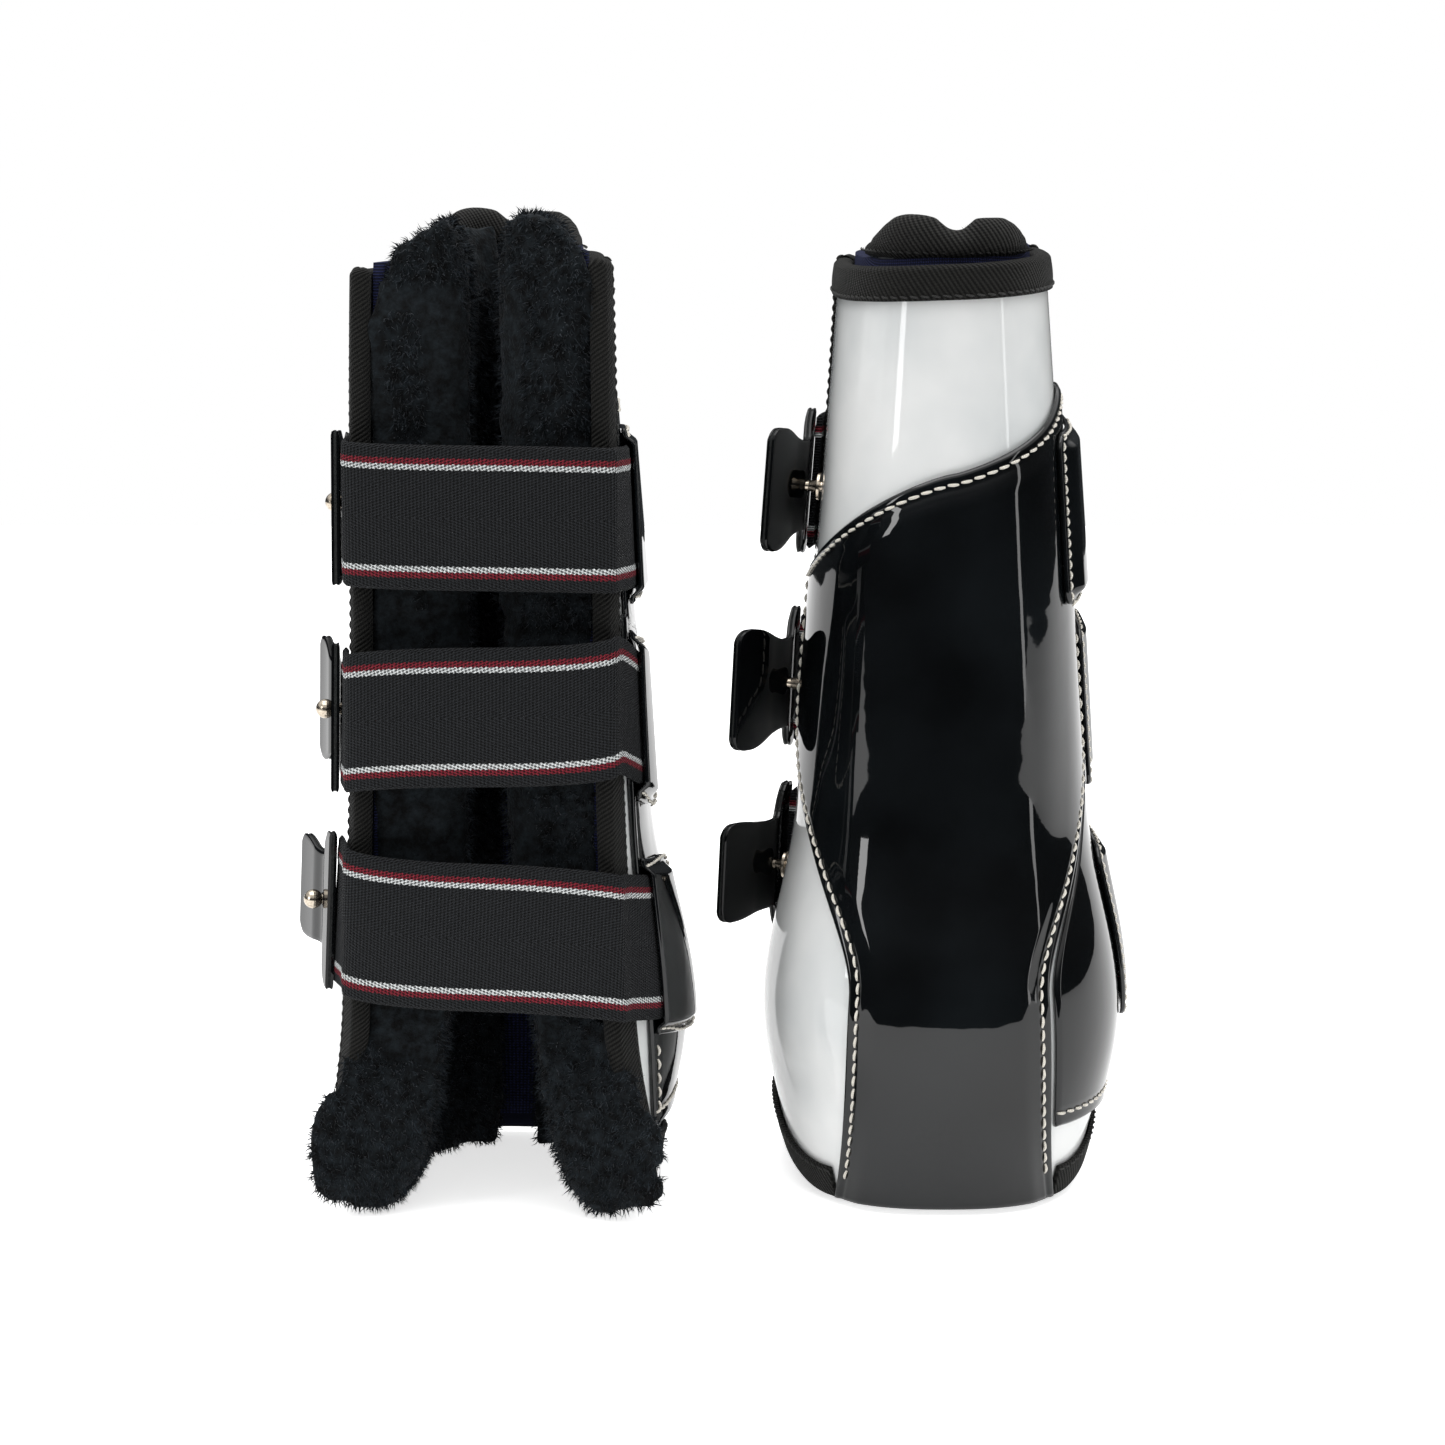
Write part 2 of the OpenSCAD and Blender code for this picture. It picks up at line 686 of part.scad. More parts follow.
module stud(boot, i) {
    face = lap_gap / 2 - tab_seat;
    ball = ball_centre(boot, i);
    start = acos(neck_r / ball_r);
    profile = concat(
        [
            [0, -tab_seat - shell_t],
            [neck_r, -tab_seat - shell_t],
            [neck_r, face],
            [flange_r, face],
            [flange_r, face + flange_t * 0.7],
            [flange_r - 0.6, face + flange_t],
            [neck_r + 0.5, face + flange_t],
            [neck_r, tab_rise(boot, i, stud_at) - 0.6]
        ],
        [for (a = steps(-start, 90, 12)) [ball_r * cos(a), ball + ball_r * sin(a)]]
    );
    color("#C9BBA8") at_tab(boot, i)
        translate([0, stud_at, 0])
            rotate([0, -90, 0])
                rotate_extrude()
                    polygon(profile);
}

// The washers that back the studs inside the shell
module stud_backs(boot) {
    color("#9A9A98")
        for (i = [UPPER, MIDDLE, LOWER])
            at_tab(boot, i)
                translate([tab_seat + shell_t + 0.02, stud_at, 0])
                    rotate([0, 90, 0])
                        cylinder(h = 0.8, r = washer_r);
}

shell(RIGHT);  // right_shell
tendon_strip(RIGHT);  // right_tendon_strip
medial_panel(RIGHT);  // right_medial_panel
pocket(RIGHT, UPPER);  // right_upper_pocket
pocket(RIGHT, MIDDLE);  // right_middle_pocket
pocket(RIGHT, LOWER);  // right_lower_pocket
top_binding(RIGHT);  // right_top_binding
front_binding(RIGHT, -1);  // right_lateral_binding
front_binding(RIGHT, 1);  // right_medial_binding
hem_binding(RIGHT, -1);  // right_lateral_hem
hem_binding(RIGHT, 1);  // right_medial_hem
liner_core(RIGHT);  // right_liner_core
liner_collar(RIGHT);  // right_liner_collar
pile(RIGHT, -1);  // right_lateral_pile
pile(RIGHT, 1);  // right_medial_pile
hook_strips(RIGHT);  // right_hook_strips
strap(RIGHT, UPPER);  // right_upper_strap
strap(RIGHT, MIDDLE);  // right_middle_strap
strap(RIGHT, LOWER);  // right_lower_strap
strap_tail(RIGHT, UPPER);  // right_upper_strap_tail
strap_tail(RIGHT, MIDDLE);  // right_middle_strap_tail
strap_tail(RIGHT, LOWER);  // right_lower_strap_tail
tab(RIGHT, UPPER);  // right_upper_tab
tab(RIGHT, MIDDLE);  // right_middle_tab
tab(RIGHT, LOWER);  // right_lower_tab
stud(RIGHT, UPPER);  // right_upper_stud
stud(RIGHT, MIDDLE);  // right_middle_stud
stud(RIGHT, LOWER);  // right_lower_stud
stud_backs(RIGHT);  // right_stud_backs
shell(LEFT);  // left_shell
tendon_strip(LEFT);  // left_tendon_strip
medial_panel(LEFT);  // left_medial_panel
pocket(LEFT, UPPER);  // left_upper_pocket
pocket(LEFT, MIDDLE);  // left_middle_pocket
pocket(LEFT, LOWER);  // left_lower_pocket
top_binding(LEFT);  // left_top_binding
front_binding(LEFT, -1);  // left_lateral_binding
front_binding(LEFT, 1);  // left_medial_binding
hem_binding(LEFT, -1);  // left_lateral_hem
hem_binding(LEFT, 1);  // left_medial_hem
liner_core(LEFT);  // left_liner_core
liner_collar(LEFT);  // left_liner_collar
pile(LEFT, -1);  // left_lateral_pile
pile(LEFT, 1);  // left_medial_pile
hook_strips(LEFT);  // left_hook_strips
strap(LEFT, UPPER);  // left_upper_strap
strap(LEFT, MIDDLE);  // left_middle_strap
strap(LEFT, LOWER);  // left_lower_strap
strap_tail(LEFT, UPPER);  // left_upper_strap_tail
strap_tail(LEFT, MIDDLE);  // left_middle_strap_tail
strap_tail(LEFT, LOWER);  // left_lower_strap_tail
tab(LEFT, UPPER);  // left_upper_tab
tab(LEFT, MIDDLE);  // left_middle_tab
tab(LEFT, LOWER);  // left_lower_tab
stud(LEFT, UPPER);  // left_upper_stud
stud(LEFT, MIDDLE);  // left_middle_stud
stud(LEFT, LOWER);  // left_lower_stud
stud_backs(LEFT);  // left_stud_backs
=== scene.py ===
"""Finished surfaces of a pair of tendon boots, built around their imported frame.

Shapes are worked out in each boot's own frame, in millimetres: the open front faces -Y, the studs are at
-X and +Z is up. placed() turns them into metres in the frame that both boots share.
"""

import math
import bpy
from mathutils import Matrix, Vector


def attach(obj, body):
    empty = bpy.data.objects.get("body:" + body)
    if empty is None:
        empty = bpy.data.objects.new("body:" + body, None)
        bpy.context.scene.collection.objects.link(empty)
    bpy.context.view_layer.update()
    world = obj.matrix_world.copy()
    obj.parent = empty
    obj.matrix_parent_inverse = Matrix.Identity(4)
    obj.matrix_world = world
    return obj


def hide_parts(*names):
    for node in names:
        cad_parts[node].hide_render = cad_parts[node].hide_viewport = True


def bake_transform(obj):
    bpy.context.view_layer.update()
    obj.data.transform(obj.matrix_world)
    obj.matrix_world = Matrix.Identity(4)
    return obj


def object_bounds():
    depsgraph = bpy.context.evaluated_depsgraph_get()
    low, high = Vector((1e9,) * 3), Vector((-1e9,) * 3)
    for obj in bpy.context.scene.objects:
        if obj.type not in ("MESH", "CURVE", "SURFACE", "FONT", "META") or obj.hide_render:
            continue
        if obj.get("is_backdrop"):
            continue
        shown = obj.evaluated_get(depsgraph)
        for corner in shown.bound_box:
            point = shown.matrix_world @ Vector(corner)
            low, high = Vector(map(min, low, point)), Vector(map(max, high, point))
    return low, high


bl_info = {
    "name": "Tendon boots",
    "version": (1, 0, 0),
    "blender": (4, 5, 0),
    "location": "View3D > Sidebar > Tendon boots",
    "description": "Patent shells, fleece liners, elastic straps and studs for a pair of tendon boots",
    "category": "Add Mesh",
}

import bpy
import numpy as np
from mathutils import Vector

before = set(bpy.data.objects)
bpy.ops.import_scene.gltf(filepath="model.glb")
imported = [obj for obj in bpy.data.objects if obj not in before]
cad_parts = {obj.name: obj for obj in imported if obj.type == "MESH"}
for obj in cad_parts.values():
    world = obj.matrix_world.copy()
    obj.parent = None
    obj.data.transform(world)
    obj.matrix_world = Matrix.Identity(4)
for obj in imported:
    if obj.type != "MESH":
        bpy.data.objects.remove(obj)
frame_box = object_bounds()

RIGHT, LEFT = "right", "left"
BOOTS = (RIGHT, LEFT)
STRAPS = ("upper", "middle", "lower")
LATERAL, MEDIAL = -1, 1

# ---- sizes of the frame, in millimetres and degrees ----

PAIR_GAP = 124
RIGHT_TURN = -4
SPREAD = {RIGHT: 2.5, LEFT: -4}
SPREAD_FROM = 120

SHELL_H = 262
TOP_HALF_W = 28.5
SIDE_TAPER = 0.08
FRONT_HALF_W = 30.5
FRONT_TAPER = 0.027
BACK_DEPTH = 37
FRONT_DEPTH = 43
FRONT_LEAN = 0.015
SHELL_T = 2.4
FETLOCK_Z = 57
FETLOCK_OUT = 5.5
FETLOCK_REACH = 52
FETLOCK_BACK = 9
FETLOCK_BACK_REACH = 75
HEM_Z = 3
HEM_RISE = 12
HEM_TUCK = 8
FOOT_FLARE = 9
TOP_SLANT = 1.6
ROUND_POWER = 0.8
FRONT_ANGLE = 120
CURL_FROM = 80
CORNER_CUT = 13
CORNER_Z = 60

PATENT_T = 1.4
LAP_GAP = 0.5
SEAM_GAP = 0.8
LAP_OUT = LAP_GAP + PATENT_T
STRIP_WAIST = 28
STRIP_WING = 93
STRIP_LOW_Z = 176
STRIP_CLIMB = 0.31
PANEL_LOW_Z = 24
PANEL_GAP = 2

ELASTIC_T = 1.8
STRAP_W = {"upper": 39, "middle": 38, "lower": 41}
TAB_Z = {"upper": 0.754 * SHELL_H, "middle": 0.534 * SHELL_H, "lower": 0.328 * SHELL_H}
CORNER_STRAP_Z = {"upper": 0.748 * SHELL_H, "middle": 0.557 * SHELL_H, "lower": 0.300 * SHELL_H}
POCKET_Z = {"upper": 0.733 * SHELL_H, "middle": 0.515 * SHELL_H, "lower": 0.271 * SHELL_H}
POCKET_FROM = {"upper": 58, "middle": 87, "lower": 82}
POCKET_FRONT = {"upper": 101, "middle": 105, "lower": 105}
POCKET_MARGIN = 6
POCKET_ROUND = 5
STRAP_BOW = 5
STRAP_CORNER = 1.5
STRAP_SQUARE = 0.55
TAB_FROM = -112
ELASTIC_END = -107
TAIL_END = 118

TAPE_GAP = 0.5
TAPE_T = 1
TAIL_IN = LAP_OUT + LAP_GAP
TAIL_OUT = TAIL_IN + ELASTIC_T
POCKET_IN = TAIL_OUT + SEAM_GAP
END_RISE = 0.45
END_IN = TAPE_GAP + TAPE_T + END_RISE
FRONT_TAPE = 0.07
TOP_TAPE = 8
HEM_TAPE = 8
HEM_END_GAP = 4
TAPE_REACH = 1 - FRONT_TAPE - 0.008
PINCH = 0.009

TAB_T = 2.3
TAB_LEN = 40
TAB_MARGIN = 3
TAB_WAIST = 26
TAB_FLARE = {RIGHT: {"upper": 3, "middle": 4, "lower": 2}, LEFT: {"upper": 7, "middle": 11, "lower": 7}}
TAB_TIP = {"upper": 35, "middle": 35, "lower": 29}
TAB_DIP = 1.2
TAB_SEAT = END_IN + ELASTIC_T + SEAM_GAP
STUD_AT = 0.4 * TAB_LEN
HOLE_R = 1.85

LINER_TOP = SHELL_H + 13
CORE_T = 3
HOOK_ROOM = 0.8
CORE_OUT = -SHELL_T - TAPE_GAP - TAPE_T - HOOK_ROOM
CORE_IN = CORE_OUT - CORE_T
PILE_GAP = 1.3
PILE_OUT = CORE_IN - PILE_GAP
PILE_T = 9
SLOT_HALF = 3
SLOT_OPEN = 17
LOBE_NOSE = 4
COVER = 7
SPILL = {RIGHT: 19, LEFT: 11}
TOP_SLOPE = {LATERAL: 15, MEDIAL: 7}
TOP_RISE = {RIGHT: 6, LEFT: -1}
BACK_DROP = {RIGHT: 5, LEFT: 14}
FOOT_NOSE = 3
# the rounded front of a lobe: how far forward each row is and how deep the pile is there, as shares
NOSE_ROWS = ((0.2, 0.99), (0.45, 0.96), (0.7, 0.88), (0.88, 0.74), (0.97, 0.55), (1.0, 0.3))
TOP_DOME = 16
FOOT_DOME = 26
COLLAR_REACH = 78

WING_ROOM = 4.5
WING_FROM_Z = POCKET_Z["middle"] + STRAP_W["middle"] / 2 + WING_ROOM
WING_FULL_Z = WING_FROM_Z + 10

# ---- sizes of the finer detail, in millimetres ----

TENDON_PAD = 0.9
TENDON_HALF = (24, 34)
SEAM_GROOVE = 0.35
CUT_EDGE_ROUND = 0.6
PANEL_HEM_ROLL = 0.6
POCKET_CUT = 6
TAPE_SEAM_AT = 0.86
COLLAR_SEAM_Z = SHELL_H + 4.4
STRIPE_FROM, STRIPE_TO, STRIPE_RISE = 3.0, 6.8, 0.16
STRAP_BEND = 3
TAB_LAYERS = (0.78, 1.54)
TAB_LAP = 0.02
TAB_CORE_INSET = 0.25
TUFT_HEIGHT = 2.2
TUFT_SIZE = 7
LOWEST_PILE = 0.6

# ---- the stage, in metres, degrees and watts ----

CAMERA_AT = (0, -1.03, 0.31)
CAMERA_DIP = 9.78
LENS = 91.6
FLOOR = (-1.6, -0.5, 1.6, 1.6)
LIGHTS_AIM = (0, 0, 0.14)
# name, place, width and height, power
LIGHTS = (
    ("left_box", (-1.0, -0.75, 0.42), (0.2, 0.6), 2.6),
    ("right_box", (1.1, -0.5, 0.45), (0.08, 1.0), 0.9),
    ("overhead_box", (0, -0.1, 1.5), (1.8, 1.4), 20),
)


# ---- smooth steps ----


def mix(a, b, share):
    """A number between two others."""
    return a + (b - a) * share


def blend(value, start, end):
    """0 before start, 1 after end and a smooth step between them."""
    share = np.clip((value - start) / (end - start), 0, 1)
    return share * share * (3 - 2 * share)


def bump(value, middle, reach):
    """A smooth hump of height 1, which reaches 0 at a distance on both sides."""
    near = np.abs(value - middle) < reach
    return np.where(near, np.cos(np.pi / 2 * (value - middle) / reach) ** 2, 0)


# ---- the boot's section: 0 degrees is the back, and + is the medial side ----


def half_w(z):
    """Half of the shell's width at a height."""
    tuck = np.maximum(0, 1 - z / FETLOCK_Z) ** 2
    fetlock = FETLOCK_OUT * bump(z, FETLOCK_Z, FETLOCK_REACH)
    return TOP_HALF_W + SIDE_TAPER * (SHELL_H - z) + fetlock - HEM_TUCK * tuck


def back_y(z):
    """How far back the tendon side stands at a height."""
    return BACK_DEPTH + FETLOCK_BACK * bump(z, FETLOCK_Z - 10, FETLOCK_BACK_REACH)


def half_d(z):
    """Half of the section's depth at a height, before its front is cut off."""
    front_y = FRONT_DEPTH + FRONT_LEAN * (SHELL_H - z)
    return (back_y(z) + front_y) / (1 + 0.5**ROUND_POWER)


def edge_x(z, boot):
    """Half of the distance between the outsides of the front edges."""
    flare = FOOT_FLARE * np.maximum(0, 1 - z / CORNER_Z) ** 2
    return FRONT_HALF_W + FRONT_TAPER * (SHELL_H - z) + flare + SPREAD[boot] * blend(z, SPREAD_FROM, SHELL_H)


def rounded(value):
    """Makes a sine or cosine fuller, for a section between an oval and a box."""
    return np.sign(value) * np.abs(value) ** ROUND_POWER


def section(angle, z, boot):
    """A point of the shell's outer line, with its front edges curled to their width."""
    turn = np.radians(angle)
    curl = edge_x(z, boot) - rounded(math.sin(math.radians(FRONT_ANGLE))) * half_w(z)
    curled = blend(np.abs(angle), CURL_FROM, FRONT_ANGLE)
    x = rounded(np.sin(turn)) * half_w(z) + np.sign(angle) * curl * curled
    y = back_y(z) - half_d(z) * (1 - rounded(np.cos(turn)))
    return np.stack([x, y], axis=-1)


def wall(angle, z, out, boot):
    """Points at a distance out from the shell's outer face."""
    angle, z, out = np.broadcast_arrays(*(np.asarray(v, float) for v in (angle, z, out)))
    run = section(angle + 0.5, z, boot) - section(angle - 0.5, z, boot)
    length = np.linalg.norm(run, axis=-1)
    place = section(angle, z, boot)
    x = place[..., 0] - run[..., 1] / length * out
    y = place[..., 1] + run[..., 0] / length * out
    return np.stack([x, y, z], axis=-1)


def front_edge(z):
    """The angle at which the shell ends in front, less where its lower corners are cut."""
    return FRONT_ANGLE - CORNER_CUT * np.maximum(0, 1 - z / CORNER_Z) ** 2


def shell_at(u, rise, out, boot):
    """A place on the shell: u is -1 to 1 between the front edges, and rise is 0 to 1 from hem to top."""
    angle = np.asarray(u, float) * FRONT_ANGLE
    low = HEM_Z + HEM_RISE * blend(np.abs(angle), 50, FRONT_ANGLE)
    high = SHELL_H + TOP_SLANT * np.sin(np.radians(angle))
    z = mix(low, high, rise)
    return wall(u * front_edge(z), z, out, boot)


def strip_foot(z):
    """How much wider the strip gets, in degrees, near the ground."""
    return 14 * np.maximum(0, 1 - z / FETLOCK_Z) ** 2


def strip_lateral(z):
    """Angle of the strip's lateral edge."""
    wing = (STRIP_WING - STRIP_WAIST) * blend(z, FETLOCK_Z + 5, FETLOCK_Z + 88)
    return STRIP_WAIST - 1 + strip_foot(z) + wing


def strip_medial(z):
    """Angle of the strip's medial edge."""
    wing = (POCKET_FRONT["upper"] - STRIP_WAIST - 54) * blend(z, WING_FROM_Z, WING_FULL_Z)
    return STRIP_WAIST + 1 + strip_foot(z) + 53 * blend(z, FETLOCK_Z + 5, FETLOCK_Z + 78) + wing


def strip_top(angle):
    """Height of the strip's top edge, which climbs towards the medial side."""
    rise = STRIP_CLIMB * (angle + 90) + 4 * bump(angle, -20, 80)
    return STRIP_LOW_Z + rise - 0.008 * np.maximum(0, angle - 68) ** 2


def strip_at(s, rise, out, boot):
    """A place on the strip: s is 0 to 1 across it, and rise 0 to 1 up it."""
    low = HEM_Z - 1
    left_z = mix(low, strip_top(np.asarray(-STRIP_WING, float)), rise)
    right_z = mix(low, strip_top(np.asarray(POCKET_FRONT["upper"], float)), rise)
    angle = mix(-strip_lateral(left_z), strip_medial(right_z), s)
    top_angle = mix(-STRIP_WING, POCKET_FRONT["upper"], s)
    return wall(angle, mix(low, strip_top(top_angle), rise), out, boot)


def tail_mid(i, angle):
    """The middle of a strap's sewn end, which slants from its pocket to the medial corner."""
    return mix(POCKET_Z[i], CORNER_STRAP_Z[i], (angle - POCKET_FROM[i]) / (FRONT_ANGLE - POCKET_FROM[i]))


def strap_plan(t, z, out, boot):
    """A strap's line at height z: t is 0 at its hinge, 1 at the lateral corner and 2 at its sewn end."""
    t, z, out = np.broadcast_arrays(*(np.asarray(v, float) for v in (t, z, out)))
    end_out = out - (TAIL_IN - END_IN)
    turn = np.radians(mix(90, -90, np.minimum(t, 1)))
    right = wall(FRONT_ANGLE, z, out, boot)
    left = wall(-FRONT_ANGLE, z, end_out, boot)
    middle, half = (right[..., 0] + left[..., 0]) / 2, (right[..., 0] - left[..., 0]) / 2
    x = middle + half * np.sign(turn) * np.abs(np.sin(turn)) ** STRAP_SQUARE
    bow = (STRAP_BOW + out - TAIL_IN) * np.maximum(np.cos(turn), 0) ** STRAP_SQUARE
    span = np.stack([x, mix(right[..., 1], left[..., 1], t) - STRAP_CORNER - bow, z], axis=-1)
    after = wall(mix(-FRONT_ANGLE, ELASTIC_END, np.maximum(t - 1, 0)), z, end_out, boot)
    after[..., 1] -= STRAP_CORNER * (2 - t)
    return np.where((t <= 1)[..., None], span, after)


def at_height(angle, z, out, boot):
    """As wall(), but above the shell the liner keeps the section of the shell's top."""
    place = wall(angle, np.minimum(z, SHELL_H), out, boot)
    place[..., 2] = z
    return place


def placed(points, boot):
    """Points of a boot's own frame, in millimetres, as metres in the shared frame."""
    x, y, z = np.moveaxis(np.asarray(points, float), -1, 0)
    if boot == RIGHT:
        turn = math.radians(RIGHT_TURN)
        x, y = x * math.cos(turn) - y * math.sin(turn) - PAIR_GAP / 2, x * math.sin(turn) + y * math.cos(turn)
    else:
        x, y = x + PAIR_GAP / 2, -y
    return np.stack([x, y, z], axis=-1) / 1000


# ---- meshes ----


def arc_lengths(points, axis):
    """Distance run along one axis of a grid of points."""
    gaps = np.linalg.norm(np.diff(points, axis=axis), axis=-1)
    start = np.zeros_like(np.take(gaps, [0], axis=axis))
    return np.concatenate([start, np.cumsum(gaps, axis=axis)], axis=axis)


def slab(outer, inner):
    """A closed sheet between two grids of points, as points and faces. Seen from outside, the rows go from
    right to left and each row's points go up."""
    m, n = outer.shape[:2]
    grid = np.arange(m * n).reshape(m, n)
    a, b, c, d = grid[:-1, :-1], grid[1:, :-1], grid[1:, 1:], grid[:-1, 1:]
    front = np.stack([a, d, c, b], axis=-1).reshape(-1, 4)
    back = front[:, ::-1] + m * n
    ring = np.concatenate([grid[:, 0], grid[-1, 1:], grid[-2::-1, -1], grid[0, -2:0:-1]])
    following = np.roll(ring, -1)
    rim = np.stack([ring, following, following + m * n, ring + m * n], axis=-1)
    points = np.concatenate([outer.reshape(-1, 3), inner.reshape(-1, 3)])
    return points, np.concatenate([front, back, rim])


def grid_weave(points):
    """Distances along and up a grid of points, once for each of a slab's faces. The distance along is the
    mean over the whole width, so that ribs across a curved tape stay parallel."""
    along = arc_lengths(points, 0)
    along[:] = along.mean(axis=1, keepdims=True)
    flat = np.stack([along, arc_lengths(points, 1)], axis=-1).reshape(-1, 2)
    return np.concatenate([flat, flat])


def new_piece(name, points, faces, boot, material, weave=None):
    """A smooth mesh object from a boot's own points. weave holds each point's place on the cloth, in mm."""
    mesh = bpy.data.meshes.new(name)
    faces = [list(face) for face in faces]
    if boot == LEFT:
        faces = [face[::-1] for face in faces]
    mesh.from_pydata(placed(points, boot).tolist(), [], faces)
    mesh.polygons.foreach_set("use_smooth", np.ones(len(mesh.polygons), bool))
    if weave is not None:
        corners = np.zeros(len(mesh.loops), np.int32)
        mesh.loops.foreach_get("vertex_index", corners)
        layer = mesh.uv_layers.new(name="weave")
        layer.data.foreach_set("uv", (np.asarray(weave)[corners] / 10).astype(np.float32).ravel())
    piece = bpy.data.objects.new(name, mesh)
    bpy.context.scene.collection.objects.link(piece)
    mesh.materials.append(material)
    mesh.update()
    return piece


def put(piece, body, nodes=()):
    """Fixes a finished piece to its body and hides the frame's nodes that it stands for."""
    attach(piece, body)
    if nodes:
        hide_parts(*nodes)
    return piece


def soft_edge(across, along, radius):
    """How far a sheet's face drops near its edges, from the distances to them."""
    past_across, past_along = np.clip(radius - across, 0, radius), np.clip(radius - along, 0, radius)
    inside = np.minimum(radius, np.hypot(past_across, past_along))
    return radius - np.sqrt(radius**2 - inside**2)


def edge_distances(points):
    """Distances from each point of a grid to its first and last row, and to its first and last column."""
    run, climb = arc_lengths(points, 0), arc_lengths(points, 1)
    return run, run[-1:, :] - run, climb, climb[:, -1:] - climb


def evaluated_mesh(piece):
    """Replaces a piece's mesh with the result of its modifiers."""
    graph = bpy.context.evaluated_depsgraph_get()
    done = bpy.data.meshes.new_from_object(piece.evaluated_get(graph))
    piece.modifiers.clear()
    piece.data = done
    return piece


def inflate(piece, voxel, cap, pressure=4.0):
    """Blows a padded piece up as cloth, moves no point further than cap, and subdivides it once. Both sizes
    are in millimetres."""
    remesh = piece.modifiers.new("remesh", "REMESH")
    remesh.mode = "VOXEL"
    remesh.voxel_size = voxel / 1000
    evaluated_mesh(piece)
    count = len(piece.data.vertices)
    before = np.zeros(count * 3, np.float32)
    piece.data.vertices.foreach_get("co", before)
    cloth = piece.modifiers.new("cloth", "CLOTH")
    cloth.settings.use_pressure = True
    cloth.settings.uniform_pressure_force = pressure
    cloth.settings.effector_weights.gravity = 0
    scene = bpy.context.scene
    for step in range(1, 21):
        scene.frame_set(step)
    evaluated_mesh(piece)
    scene.frame_set(1)
    after = np.zeros(count * 3, np.float32)
    piece.data.vertices.foreach_get("co", after)
    move = (after - before).reshape(-1, 3)
    far = np.linalg.norm(move, axis=1, keepdims=True) + 1e-9
    move *= np.minimum(1, cap / 1000 / far)
    piece.data.vertices.foreach_set("co", (before.reshape(-1, 3) + move).ravel())
    smooth = piece.modifiers.new("smooth", "SMOOTH")
    smooth.iterations = 2
    subdivide = piece.modifiers.new("subdivide", "SUBSURF")
    subdivide.levels = 1
    evaluated_mesh(piece)
    piece.data.polygons.foreach_set("use_smooth", np.ones(len(piece.data.polygons), bool))
    piece.data.update()
    return piece


# ---- thread ----


def stitch_shape(length, thickness):
    """One stitch lying along X: a thread that dips into the sheet at both ends."""
    rings, sides = 7, 6
    points = []
    for i in range(rings):
        share = i / (rings - 1)
        radius = thickness / 2 * math.sin(math.pi * mix(0.12, 0.88, share)) ** 0.5
        lift = thickness * 0.55 * math.sin(math.pi * share) - thickness * 0.2
        for k in range(sides):
            turn = 2 * math.pi * k / sides
            points.append([length * (share - 0.5), radius * math.cos(turn), lift + radius * math.sin(turn)])
    faces = [
        [i * sides + k, i * sides + (k + 1) % sides, (i + 1) * sides + (k + 1) % sides, (i + 1) * sides + k]
        for i in range(rings - 1)
        for k in range(sides)
    ]
    return np.array(points), np.array(faces)


def even_points(path, spacing):
    """Points and directions at even distances along a line of points."""
    path = np.asarray(path, float)
    run = arc_lengths(path, 0)
    count = max(2, int(run[-1] / spacing))
    where = (np.arange(count) + 0.5) * run[-1] / count
    at = np.stack([np.interp(where, run, path[:, k]) for k in range(3)], axis=1)
    ahead = np.stack([np.interp(where + 0.5, run, path[:, k]) for k in range(3)], axis=1)
    behind = np.stack([np.interp(where - 0.5, run, path[:, k]) for k in range(3)], axis=1)
    along = ahead - behind
    return at, along / np.linalg.norm(along, axis=1, keepdims=True)


def sew(name, boot, body, paths, normals_of, material, pitch, length, thickness, slant=7):
    """Sews stitches along each path. normals_of gives the outward directions at points of the boot's own
    frame, and slant is how far each stitch turns from its path, in degrees."""
    shape, faces = stitch_shape(length, thickness)
    points, all_faces, weave = [], [], []
    for path in paths:
        at, along = even_points(path, pitch)
        normal = normals_of(at)
        side = np.cross(normal, along)
        side /= np.linalg.norm(side, axis=1, keepdims=True)
        normal = np.cross(along, side)
        turn = math.radians(slant)
        tilted = along * math.cos(turn) + side * math.sin(turn)
        across = side * math.cos(turn) - along * math.sin(turn)
        for centre, x_way, y_way, z_way in zip(at, tilted, across, normal):
            all_faces.append(faces + len(points) * len(shape))
            points.append(centre + shape @ np.array([x_way, y_way, z_way]))
            weave.append(shape[:, :2])
    points, all_faces, weave = (np.concatenate(parts) for parts in (points, all_faces, weave))
    return put(new_piece(name, points, all_faces, boot, material, weave), body)


def wall_normals(boot):
    """The outward directions at points that lie near the shell."""
    angles = np.linspace(-FRONT_ANGLE, FRONT_ANGLE, 241)

    def normals_of(points):
        found = []
        for point in points:
            ring = wall(angles, np.clip(point[2], 0, SHELL_H), 2.0, boot)
            best = angles[np.argmin(np.linalg.norm(ring[:, :2] - point[:2], axis=1))]
            found.append(wall(best, point[2], 1.0, boot) - wall(best, point[2], 0.0, boot))
        return np.array(found)

    return normals_of


def inset_line(points, inset, edge):
    """The line that runs inside one edge of a grid of points, at a distance from it."""
    first, last, low, high = edge_distances(points)
    distance = {"first": first, "last": last, "high": high, "low": low}[edge]
    axis = 0 if edge in ("first", "last") else 1
    lines = np.moveaxis(points, axis, 0)
    away = np.moveaxis(distance, axis, 0)
    if away[0, 0] > away[-1, 0]:
        lines, away = lines[::-1], away[::-1]
    return np.array([
        [np.interp(inset, away[:, k], lines[:, k, part]) for part in range(3)]
        for k in range(lines.shape[1])
    ])


# ---- materials ----


